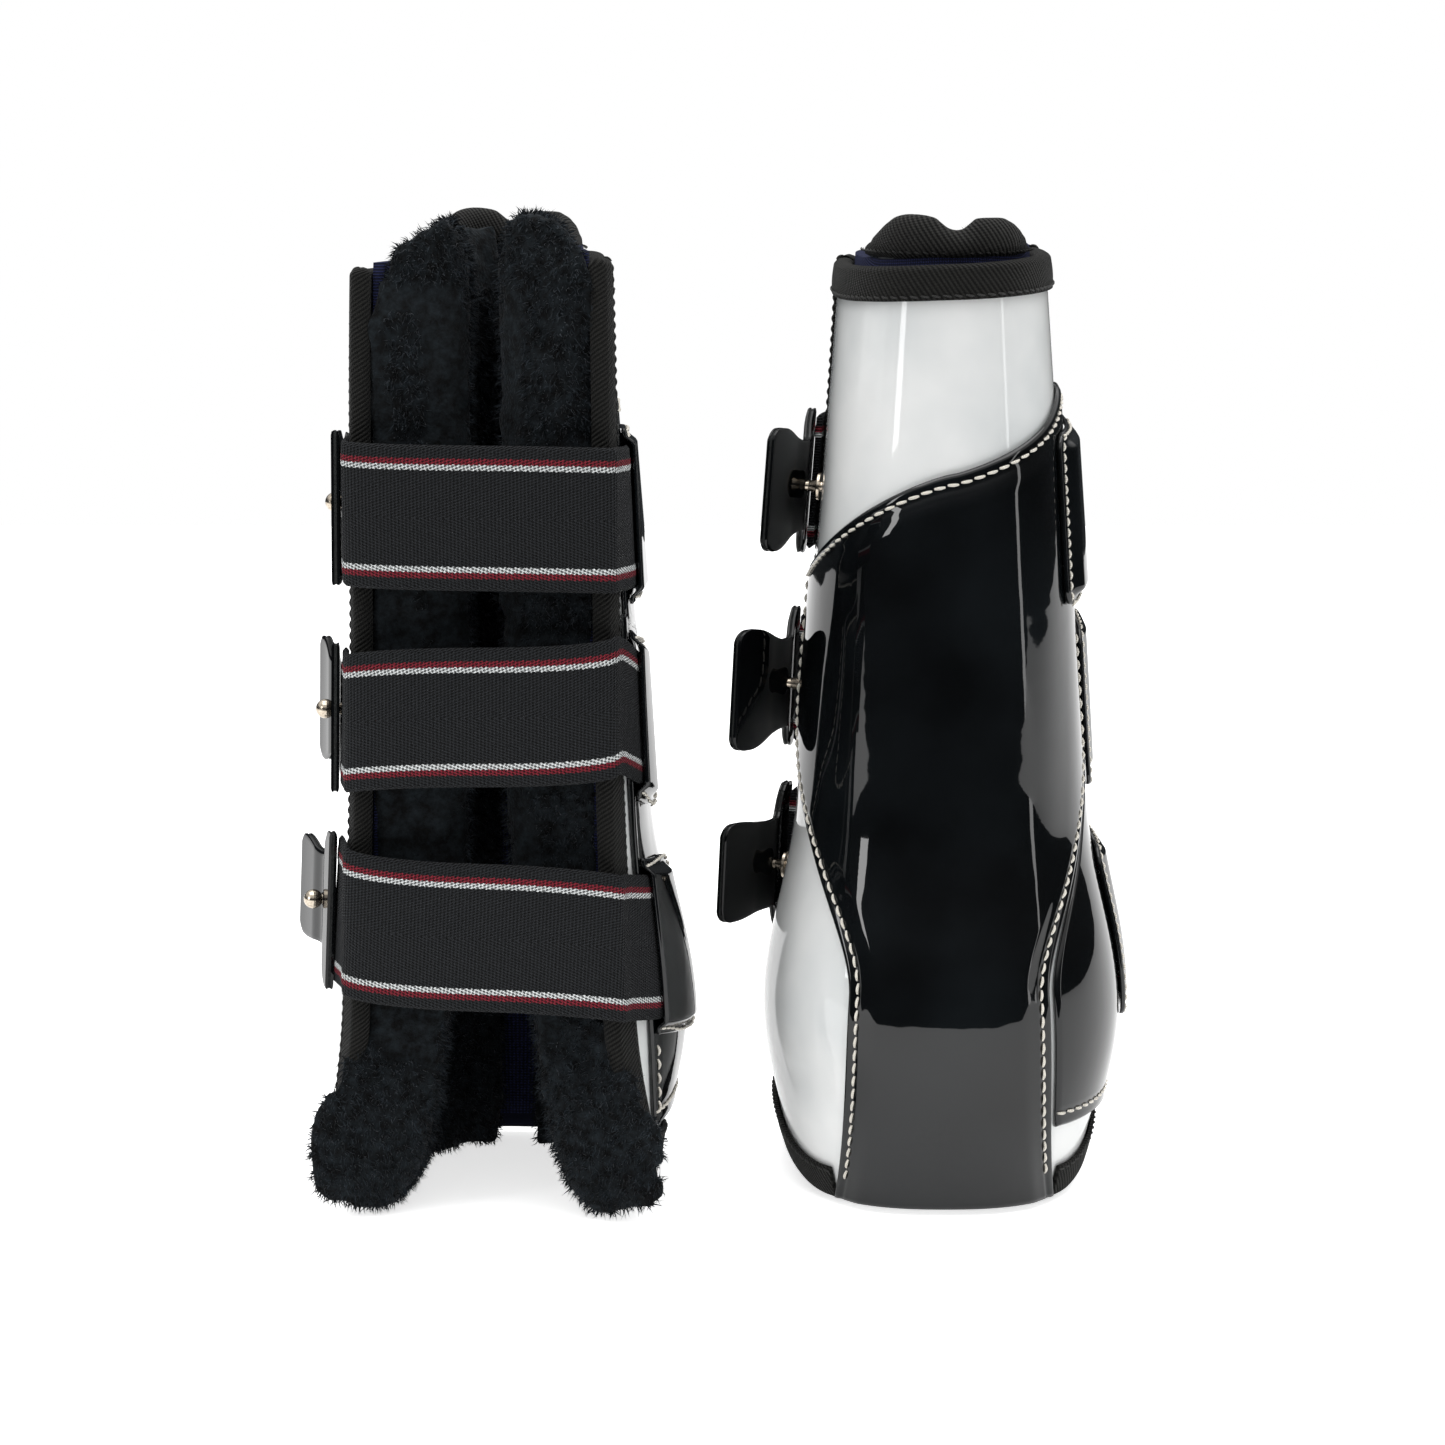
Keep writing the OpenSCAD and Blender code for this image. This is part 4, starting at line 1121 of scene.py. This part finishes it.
class BOOTS_OT_bindings(BootOperator, bpy.types.Operator):
    """Folds twill tape over the shell's edges"""

    bl_idname = "boots.bindings"
    bl_label = "Bindings"

    def fold(self, gap):
        """The tape's section across an edge. The first numbers are below 0 on its legs, as a share of the
        tape's width, and above 0 past the edge, in mm. The second ones are mm out from the shell."""
        leg = np.linspace(-1, 0, 9)
        turn = np.radians(np.linspace(75, -75, 9))
        radius = SHELL_T / 2 + gap
        # the tape stands a little off the shell in the middle of each leg
        puff = 0.25 * np.sin(np.pi * (leg + 1)) * (gap > TAPE_GAP)
        past = np.concatenate([leg, 0.6 * radius * np.cos(turn), leg[::-1]])
        out = np.concatenate([gap + puff, radius * np.sin(turn) - SHELL_T / 2, -SHELL_T - gap - puff])
        return past, out

    def tape(self, boot, name, node, place, along):
        """place(share of the length, past, out) gives a point of the tape."""
        along = along[:, None]
        grids = []
        for gap in (TAPE_GAP + TAPE_T, TAPE_GAP):
            past, out = self.fold(gap)
            grids.append(place(along, past[None, :], out[None, :]))
        points, faces = slab(*grids)
        piece = new_piece(name, points, faces, boot, MATERIALS["twill"], grid_weave(grids[0]))
        put(piece, f"{boot}_boot", [node])
        seam = place(along[:, 0], -TAPE_SEAM_AT, TAPE_GAP + TAPE_T + 0.1)
        sew(
            f"{name}_seam", boot, f"{boot}_boot", [seam], wall_normals(boot), MATERIALS["dark_thread"],
            pitch=3.0, length=2.4, thickness=0.6, slant=12,
        )

    def build(self, boot):
        for side, word in ((LATERAL, "lateral"), (MEDIAL, "medial")):
            self.front(boot, side, word)
            self.hem(boot, side, word)
        self.top(boot)

    def front(self, boot, side, word):
        """The tape on a front edge is pinched together past the shell's ends, so it covers its corners."""
        ends = np.linspace(0, PINCH, 6)
        along = np.concatenate([-ends[::-1], np.linspace(0, 1, 141)[1:-1], 1 + ends])

        def place(share, past, out):
            rise = share if side > 0 else 1 - share
            beyond = np.maximum(np.maximum(rise - 1, -rise), 0) / PINCH
            open_share = np.sqrt(np.maximum(0, 1 - 0.99 * beyond**2))
            out = mix(-SHELL_T / 2, out, open_share)
            u = side * (1 - FRONT_TAPE * np.maximum(-past, 0))
            edge = shell_at(u, rise, out, boot)
            at_edge, behind = (shell_at(side * u + 0 * past, rise, out, boot) for u in (1, 0.98))
            way = at_edge - behind
            way = way / np.linalg.norm(way, axis=-1, keepdims=True)
            return edge + way * (np.maximum(past, 0) * open_share)[..., None]

        self.tape(boot, f"{boot}_{word}_tape", f"{boot}_{word}_binding", place, along)

    def hem(self, boot, side, word):
        """The tape on the lower edge, from the front corner to just short of the strip."""
        near = (strip_medial(HEM_Z) if side > 0 else strip_lateral(HEM_Z)) + HEM_END_GAP
        first, last = sorted((side * TAPE_REACH, side * near / FRONT_ANGLE), reverse=True)

        def place(share, past, out):
            edge = shell_at(mix(first, last, share), HEM_TAPE / SHELL_H * np.maximum(-past, 0), out, boot)
            edge[..., 2] -= np.maximum(past, 0)
            return edge

        self.tape(boot, f"{boot}_{word}_hem_tape", f"{boot}_{word}_hem", place, np.linspace(0, 1, 61))

    def top(self, boot):
        """The tape over the whole top edge."""
        def place(share, past, out):
            u = mix(-TAPE_REACH, TAPE_REACH, share)
            edge = shell_at(u, 1 - TOP_TAPE / SHELL_H * np.maximum(-past, 0), out, boot)
            edge[..., 2] += np.maximum(past, 0)
            return edge

        self.tape(boot, f"{boot}_top_tape", f"{boot}_top_binding", place, np.linspace(0, 1, 161))


class BOOTS_OT_liners(BootOperator, bpy.types.Operator):
    """Makes the neoprene cores and the padded twill collars"""

    bl_idname = "boots.liners"
    bl_label = "Liner cores and collars"

    def build(self, boot):
        u = np.linspace(-0.985, 0.985, 91)[:, None]
        rise = np.linspace(0.02, 0.998, 61)[None, :]
        grids = []
        for out in (CORE_OUT, CORE_IN):
            grid = shell_at(u, rise, out, boot)
            grid[..., 2] += 4 * blend(rise, 0.9, 1)
            grids.append(grid)
        name, weave = f"{boot}_neoprene_core", grid_weave(grids[0])
        piece = new_piece(name, *slab(*grids), boot, MATERIALS["neoprene"], weave)
        put(piece, f"{boot}_boot", [f"{boot}_liner_core"])
        self.collar(boot)

    def collar(self, boot):
        """A stuffed roll: its top has two humps with a pinch between them over the tendon."""
        angle = np.linspace(-COLLAR_REACH, COLLAR_REACH, 81)[:, None]
        turn = np.radians(np.linspace(-75, 255, 25))[None, :]
        shoulder = blend(np.abs(angle), 34, COLLAR_REACH)
        high = LINER_TOP + 1 - 3.8 * bump(angle, 2, 11) - 8 * shoulder + 1.2 * bump(angle, -26, 30)
        low = SHELL_H + 2.2
        width = 4.6 - 2.2 * shoulder
        out = CORE_OUT - 2.2 + width * np.cos(turn)
        z = (high + low) / 2 + (high - low) / 2 * np.sin(turn)
        grid = at_height(angle, z, out, boot)
        points, faces = closed_tube(grid)
        piece = new_piece(f"{boot}_collar_roll", points, faces, boot, MATERIALS["collar_twill"])
        inflate(piece, 1.8, 1.4)
        cloth_coordinates(piece, boot)
        piece.data.materials.clear()
        piece.data.materials.append(MATERIALS["collar_twill"])
        put(piece, f"{boot}_boot", [f"{boot}_liner_collar"])
        seam_angles = np.linspace(-COLLAR_REACH + 6, COLLAR_REACH - 6, 60)
        seam = at_height(seam_angles, COLLAR_SEAM_Z, CORE_OUT + 1.0, boot)
        sew(
            f"{boot}_collar_seam", boot, f"{boot}_boot", [seam], wall_normals(boot), MATERIALS["dark_thread"],
            pitch=2.4, length=1.9, thickness=0.5, slant=20,
        )


def closed_tube(grid):
    """A tube whose rings are the rows of a grid, with both ends capped by a fan."""
    m, n = grid.shape[:2]
    index = np.arange(m * n).reshape(m, n)
    following = np.roll(index, -1, axis=1)
    sides = np.stack([index[:-1], following[:-1], following[1:], index[1:]], axis=-1).reshape(-1, 4)
    points = np.concatenate([grid.reshape(-1, 3), grid[0].mean(0)[None], grid[-1].mean(0)[None]])
    first, last = m * n, m * n + 1
    caps = [[first, following[0, k], index[0, k]] for k in range(n)]
    caps += [[last, index[-1, k], following[-1, k]] for k in range(n)]
    return points, sides.tolist() + caps


def cloth_coordinates(piece, boot):
    """Gives a remeshed roll the place of each point on its cloth: round the boot, then up and over."""
    mesh = piece.data
    count = len(mesh.vertices)
    where = np.zeros(count * 3)
    mesh.vertices.foreach_get("co", where)
    where = where.reshape(-1, 3) * 1000
    centre = -PAIR_GAP / 2 if boot == RIGHT else PAIR_GAP / 2
    round_way = np.arctan2(where[:, 0] - centre, np.abs(where[:, 1]) + 1e-6) * 30
    flat = np.stack([round_way, where[:, 2]], axis=1)
    corners = np.zeros(len(mesh.loops), np.int32)
    mesh.loops.foreach_get("vertex_index", corners)
    layer = mesh.uv_layers.get("weave") or mesh.uv_layers.new(name="weave")
    layer.data.foreach_set("uv", (flat[corners] / 10).astype(np.float32).ravel())


def fullness(z):
    """How full the pile is at a height: it is domed at the top and at the foot."""
    down = np.minimum(1, (LINER_TOP - z) / TOP_DOME)
    up = np.minimum(1, z / FOOT_DOME)
    return mix(0.6, 1, np.sqrt(1 - (1 - down) ** 2)) * mix(0.45, 1, np.sqrt(1 - (1 - up) ** 2))


class BOOTS_OT_fleece(BootOperator, bpy.types.Operator):
    """Makes the fleece pile of the liners, then its fibres"""

    bl_idname = "boots.fleece"
    bl_label = "Fleece"

    def build(self, boot):
        for side, word in ((LATERAL, "lateral"), (MEDIAL, "medial")):
            piece = self.pile(boot, side, f"{boot}_{word}_fleece")
            put(piece, f"{boot}_boot", [f"{boot}_{word}_pile"])
            self.fibres(piece, boot, side, f"{boot}_{word}_fibres")

    def pile(self, boot, side, name):
        """One half of the liner's pile: thin round the leg, and a full rolled lobe at the open front."""
        back = [(a, 0.0, 1.0) for a in np.linspace(3, FRONT_ANGLE - 3, 34)]
        rows = back + [(FRONT_ANGLE - 2, ahead, share) for ahead, share in NOSE_ROWS]
        angle, ahead, share = (np.array(v)[:, None] for v in zip(*rows))
        z = np.concatenate([[0, 2, 5, 10, 17], np.linspace(FOOT_DOME, LINER_TOP - TOP_DOME, 46),
                            LINER_TOP - np.array([11, 7, 4, 1.8, 0.6, 0])])[None, :]
        slot = SLOT_HALF + SLOT_OPEN * np.maximum(0, 1 - z / (2 * FETLOCK_Z)) ** 1.6
        lobe = edge_x(np.minimum(z, SHELL_H), boot) + PILE_OUT - slot
        depth = mix(PILE_T, lobe, blend(angle, 76, 112))
        # the front of each lobe covers the edge of the core, and near the ground it spills over the binding
        foot = 1 - blend(z, 26, 64)
        dome = np.sqrt(1 - (1 - np.minimum(1, z / FOOT_DOME)) ** 2)
        cover = mix(COVER, SPILL[boot], foot) * np.minimum(1, 2.5 * ahead) * mix(0.3, 1, dome)
        nose = mix(LOBE_NOSE, LOBE_NOSE + FOOT_NOSE, foot)
        # the lateral lobe is cut at a slant above the shell, and the pile is lower behind the collar
        in_front = blend(angle, 62, 95)
        high = blend(z, SHELL_H - 40, LINER_TOP)
        slant = mix(BACK_DROP[boot], TOP_SLOPE[side], in_front) * high
        grids = []
        for face in (1, -1):
            full = share * fullness(z)
            out = PILE_OUT - depth * (0.5 - 0.5 * face * full) + cover * (face > 0)
            grid = at_height(side * angle, z + 0 * angle, out, boot)
            grid[..., 1] -= ahead * nose * fullness(z)
            grid[..., 2] += TOP_RISE[boot] * in_front * high - slant * (0.5 + 0.5 * face * full)
            grids.append(grid)
        if side < 0:
            grids = [grid[::-1] for grid in grids]
        points, faces = slab(*grids)
        piece = new_piece(name, points, faces, boot, MATERIALS["fleece"])
        inflate(piece, 3.5, 2.0)
        piece.data.materials.clear()
        piece.data.materials.append(MATERIALS["fleece"])
        self.ruffle(piece)
        return piece

    def ruffle(self, piece):
        """Tufts: the sheared surface is uneven by about a millimetre either way."""
        texture = bpy.data.textures.new(piece.name + "_tufts", "CLOUDS")
        texture.noise_scale = TUFT_SIZE / 1000
        texture.noise_depth = 2
        tufts = piece.modifiers.new("tufts", "DISPLACE")
        tufts.texture = texture
        tufts.texture_coords = "GLOBAL"
        tufts.strength = TUFT_HEIGHT / 1000
        evaluated_mesh(piece)
        mesh = piece.data
        where = np.zeros(len(mesh.vertices) * 3, np.float32)
        mesh.vertices.foreach_get("co", where)
        where = where.reshape(-1, 3)
        where[:, 2] = np.maximum(where[:, 2], LOWEST_PILE / 1000)
        mesh.vertices.foreach_set("co", where.ravel())
        mesh.update()

    def triangles(self, mesh):
        """The corners of a mesh's triangles, with their normals and areas."""
        mesh.calc_loop_triangles()
        corners = np.zeros(len(mesh.loop_triangles) * 3, np.int32)
        mesh.loop_triangles.foreach_get("vertices", corners)
        where = np.zeros(len(mesh.vertices) * 3)
        mesh.vertices.foreach_get("co", where)
        found = where.reshape(-1, 3)[corners.reshape(-1, 3)]
        cross = np.cross(found[:, 1] - found[:, 0], found[:, 2] - found[:, 0])
        area = np.linalg.norm(cross, axis=1)
        return found, cross / (area[:, None] + 1e-15), area

    def hidden(self, boot, middle, normal):
        """Which triangles lie against the core or behind the collar, where no fibre would show, and how far
        towards the open front each one is."""
        centre = np.array([-PAIR_GAP / 2000 if boot == RIGHT else PAIR_GAP / 2000, 0.0])
        radial = middle[:, :2] - centre
        radial /= np.linalg.norm(radial, axis=1, keepdims=True)
        ahead = -middle[:, 1] if boot == RIGHT else middle[:, 1]
        outward = (normal[:, :2] * radial).sum(1) > 0.3
        against_core = outward & (ahead < 0.042) & (middle[:, 2] < 0.258) & (middle[:, 2] > 0.006)
        return against_core | ((ahead < 0.01) & (middle[:, 2] > 0.255)), ahead

    def fibres(self, base, boot, side, name):
        """Curved tapering fibres all over the part of the pile that shows, each drawn as a tuft of a few."""
        sizes = settings().sizes
        count = sizes.fibres
        triangles, normal, area = self.triangles(base.data)
        hidden, ahead = self.hidden(boot, triangles.mean(1), normal)
        weight = np.where(hidden, 0, area)
        random = np.random.default_rng(11 + 2 * BOOTS.index(boot) + (side > 0))
        chosen = random.choice(len(area), count, p=weight / weight.sum())
        a, b = random.random((2, count))
        over = a + b > 1
        a, b = np.where(over, 1 - a, a)[:, None], np.where(over, 1 - b, b)[:, None]
        base_at = triangles[chosen, 0] * (1 - a - b) + triangles[chosen, 1] * a + triangles[chosen, 2] * b
        way = normal[chosen] + random.normal(0, 0.45, (count, 3)) + [0, 0, -0.35]
        way /= np.linalg.norm(way, axis=1, keepdims=True)
        length = sizes.fibre * random.uniform(0.6, 1.25, (count, 1))
        # under the straps the fibres lie pressed down
        for i in STRAPS:
            near = np.abs(base_at[:, 2] * 1000 - (TAB_Z[i] + CORNER_STRAP_Z[i]) / 2) < STRAP_W[i] / 2 + 3
            length[near & (ahead[chosen] > 0.04)] *= 0.4
        width = random.uniform(0.00012, 0.00024, (count, 1))
        across = np.cross(way, random.normal(0, 1, (count, 3)))
        across *= width / np.linalg.norm(across, axis=1, keepdims=True)
        bend = random.normal(0, 0.16, (count, 3)) + [0, 0, -0.12]
        root = base_at - way * 0.0006
        half = base_at + way * length * 0.5
        tip = base_at + (way + bend) * length
        narrow = across * 0.8
        points = np.stack([root - across, root + across, half + narrow, half - narrow, tip], axis=1)
        points = points.reshape(-1, 3)
        points[:, 2] = np.maximum(points[:, 2], 0.0003)
        start = np.arange(count)[:, None] * 5
        faces = (start + [0, 1, 2, 3]).tolist() + (start + [3, 2, 4]).tolist()
        mesh = bpy.data.meshes.new(name)
        mesh.from_pydata(points.tolist(), [], faces)
        mesh.polygons.foreach_set("use_smooth", np.ones(len(mesh.polygons), bool))
        mesh.materials.append(MATERIALS["fibre"])
        piece = bpy.data.objects.new(name, mesh)
        bpy.context.scene.collection.objects.link(piece)
        put(piece, f"{boot}_boot")


class BOOTS_OT_straps(BootOperator, bpy.types.Operator):
    """Makes the striped elastic"""

    bl_idname = "boots.straps"
    bl_label = "Straps"

    def build(self, boot):
        for i in STRAPS:
            self.strap(boot, i)

    def grid(self, boot, i, thick, share):
        """The strap's face at a share of its width, from its sewn end in the pocket to the other one."""
        start = POCKET_FROM[i] + POCKET_ROUND + 1
        angles = np.linspace(start, TAIL_END, 34)[:, None]
        drop = (share - 0.5) * STRAP_W[i]
        tail = wall(angles, tail_mid(i, angles) + drop, TAIL_IN + thick, boot)
        # the rows are closer together at the two corners
        t = np.concatenate([
            np.linspace(0.004, 0.2, 22),
            np.linspace(0.22, 0.78, 40),
            np.linspace(0.8, 0.996, 22),
            np.linspace(1.1, 2, 10),
        ])[:, None]
        mid = mix(CORNER_STRAP_Z[i], TAB_Z[i], np.minimum(1, t))
        span = strap_plan(t, mid + drop, TAIL_IN + thick, boot)
        rows = np.concatenate([tail, span])
        for _ in range(3):
            rows[1:-1] = (rows[:-2] + 2 * rows[1:-1] + rows[2:]) / 4
        return rows[::-1]

    def strap(self, boot, i):
        """One strap, with its two raised stripes."""
        across = np.linspace(0, 1, 47)[None, :]
        from_edge = np.minimum(across, 1 - across) * STRAP_W[i]
        raised = blend(from_edge, STRIPE_FROM, STRIPE_FROM + 0.6)
        ridge = STRIPE_RISE * raised * (1 - blend(from_edge, STRIPE_TO - 0.6, STRIPE_TO))
        edge = soft_edge(from_edge, from_edge, 0.7)
        outer = self.grid(boot, i, ELASTIC_T - edge + ridge, across)
        inner = self.grid(boot, i, edge, across)
        run = arc_lengths(outer, 0)
        weave = np.stack([run, from_edge + 0 * run], axis=-1)[::-1].reshape(-1, 2)
        points, faces = slab(outer[::-1], inner[::-1])
        name = f"{boot}_{i}_elastic"
        piece = new_piece(name, points, faces, boot, MATERIALS["elastic"], np.concatenate([weave, weave]))
        hinge = placed(strap_plan(0.0, CORNER_STRAP_Z[i], TAIL_IN + ELASTIC_T / 2, boot), boot)
        towards = placed(np.array([-1.0, -1.0, 0.0]), boot) - placed(np.zeros(3), boot)
        towards /= np.linalg.norm(towards)
        start, end = hinge - towards * STRAP_BEND / 1000, hinge + towards * STRAP_BEND / 1000
        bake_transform(piece)
        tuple(start)
        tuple(end)
        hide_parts(f"{boot}_{i}_strap", f"{boot}_{i}_strap_tail")


def tab_frame(boot, i):
    """Turns points of a tab's own frame (length +Y, outwards -X) into points of its boot's frame."""
    root, back = (wall(a, TAB_Z[i], TAB_SEAT, boot) for a in (TAB_FROM, TAB_FROM + 14))
    low, high = (wall(TAB_FROM, TAB_Z[i] + s * STRAP_W[i] / 2, TAB_SEAT, boot) for s in (-1, 1))
    lean = math.atan2(high[0] - low[0], high[2] - low[2])
    slope = math.atan2(root[0] - back[0], back[1] - root[1])
    c, s = math.cos(slope), math.sin(slope)
    about_z = np.array([[c, -s, 0], [s, c, 0], [0, 0, 1]])
    c, s = math.cos(lean), math.sin(lean)
    about_y = np.array([[c, 0, s], [0, 1, 0], [-s, 0, c]])
    turn = about_y @ about_z
    return lambda points: np.asarray(points) @ turn.T + root


def tab_rise(boot, i, y):
    """How far a tab stands off its seat along its length: it dips at the stud and flares at the tip."""
    return TAB_FLARE[boot][i] * (y / TAB_LEN) ** 2.4 - TAB_DIP * bump(y, STUD_AT, 9)


def tab_half(i, y):
    """Half of a tab's hourglass width along its length."""
    root = (STRAP_W[i] + TAB_MARGIN) / 2
    shaped = root - (root - TAB_WAIST / 2) * blend(y, 4, 14)
    shaped = shaped + (TAB_TIP[i] - TAB_WAIST) / 2 * blend(y, 18, 0.85 * TAB_LEN)
    left = np.minimum(1, (TAB_LEN - y) / 4)
    return shaped - 4 * (1 - np.sqrt(np.maximum(0, 1 - (1 - left) ** 2)))


class BOOTS_OT_tabs(BootOperator, bpy.types.Operator):
    """Cuts the hourglass tabs from two patent faces on a leather core"""

    bl_idname = "boots.tabs"
    bl_label = "Tabs"

    def build(self, boot):
        for i in STRAPS:
            first, second = TAB_LAYERS
            # name, distances from the tab's seat to the layer's two faces, and how far its edge is drawn in
            for layer, near, far, draw_in, material in (
                ("lining", 0.0, first, 0.0, "tab_patent"),
                ("core", first - TAB_LAP, second, TAB_CORE_INSET, "tab_core"),
                ("face", second - TAB_LAP, TAB_T, 0.0, "tab_patent"),
            ):
                self.layer(boot, i, layer, near, far, draw_in, MATERIALS[material])

    def layer(self, boot, i, layer, near, far, draw_in, material):
        """One layer of a tab, between two distances from its seat."""
        from_tip = np.array([4, 3.4, 2.8, 2.2, 1.6, 1.1, 0.7, 0.4, 0.15, 0.0])
        y = np.concatenate([np.linspace(0, TAB_LEN - 4, 46)[:-1], TAB_LEN - from_tip])
        y = y - draw_in * blend(y, TAB_LEN - 6, TAB_LEN)
        v = np.linspace(-1, 1, 41)
        half = tab_half(i, np.minimum(y, TAB_LEN)) - draw_in
        rise = tab_rise(boot, i, y)
        in_boot = tab_frame(boot, i)
        grids = []
        for depth, turned in ((far, -1), (near, 1)):
            height = half[:, None] * v[None, :]
            rim = np.minimum((1 - np.abs(v))[None, :] * half[:, None], (TAB_LEN - y)[:, None] + 0 * height)
            # only the tab's two outermost faces are rounded at the edge
            softness = 0.8 if depth in (0.0, TAB_T) else 0
            x = -(rise[:, None] + depth) - turned * softness * soft_edge(rim, rim, 0.3)
            grids.append(in_boot(np.stack([x, y[:, None] + 0 * height, height], axis=-1)))
        outer, inner = grids
        points, faces = slab(outer[::-1], inner[::-1])
        piece = new_piece(f"{boot}_{i}_tab_{layer}", points, faces, boot, material)
        self.punch(piece, boot, in_boot)
        nodes = [f"{boot}_{i}_tab"] if layer == "face" else ()
        put(piece, f"{boot}_{i}_closure", nodes)

    def punch(self, piece, boot, in_boot):
        """Cuts the hole for the stud's neck."""
        turn = np.linspace(0, 2 * np.pi, 25)[:-1]
        ring = np.stack([0 * turn, STUD_AT + HOLE_R * np.cos(turn), HOLE_R * np.sin(turn)], axis=1)
        grid = np.stack([in_boot(ring + [x, 0, 0]) for x in (-12, 12)])
        points, faces = closed_tube(grid)
        cutter = new_piece("hole_cutter", points, faces, boot, piece.data.materials[0])
        hole = piece.modifiers.new("hole", "BOOLEAN")
        hole.operation = "DIFFERENCE"
        hole.object = cutter
        bpy.context.view_layer.update()
        evaluated_mesh(piece)
        bpy.data.objects.remove(cutter)
        piece.data.polygons.foreach_set("use_smooth", np.ones(len(piece.data.polygons), bool))
        corner = piece.modifiers.new("corners", "EDGE_SPLIT")
        corner.split_angle = math.radians(50)
        evaluated_mesh(piece)


class BOOTS_OT_metal(bpy.types.Operator):
    """Plates the studs and their washers, and finishes the hook tape"""

    bl_idname = "boots.metal"
    bl_label = "Studs and hidden parts"

    def execute(self, context):
        finishes = {"stud": "nickel", "stud_backs": "washer", "hook_strips": "hook_tape"}
        for name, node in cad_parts.items():
            for ending, finish in finishes.items():
                if name.endswith(ending):
                    node.data.materials.clear()
                    node.data.materials.append(MATERIALS[finish])
        return {"FINISHED"}


STEPS = (
    BOOTS_OT_stage, BOOTS_OT_shells, BOOTS_OT_overlays, BOOTS_OT_pockets, BOOTS_OT_bindings,
    BOOTS_OT_liners, BOOTS_OT_fleece, BOOTS_OT_straps, BOOTS_OT_tabs, BOOTS_OT_metal,
)


class BOOTS_PT_panel(bpy.types.Panel):
    """Lists the steps, the sizes and the colours"""

    bl_label = "Tendon boots"
    bl_idname = "BOOTS_PT_panel"
    bl_space_type = "VIEW_3D"
    bl_region_type = "UI"
    bl_category = "Tendon boots"

    def draw(self, context):
        for step in STEPS:
            self.layout.operator(step.bl_idname)
        for group in (settings().sizes, settings().colours):
            box = self.layout.box()
            for name in group.__annotations__:
                box.prop(group, name)


CLASSES = (BootSizes, BootColours, BootSettings) + STEPS + (BOOTS_PT_panel,)


def register():
    for cls in CLASSES:
        bpy.utils.register_class(cls)
    bpy.types.Scene.tendon_boots = bpy.props.PointerProperty(type=BootSettings)


def unregister():
    del bpy.types.Scene.tendon_boots
    for cls in reversed(CLASSES):
        bpy.utils.unregister_class(cls)


def main():
    """Runs every step."""
    register()
    for step in STEPS:
        area, name = step.bl_idname.split(".")
        getattr(getattr(bpy.ops, area), name)()
    boxes = {"cad": frame_box, "visual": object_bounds()}
    sizes = {name: [list(corner) for corner in box] for name, box in boxes.items()}


if __name__ == "__main__":
    main()
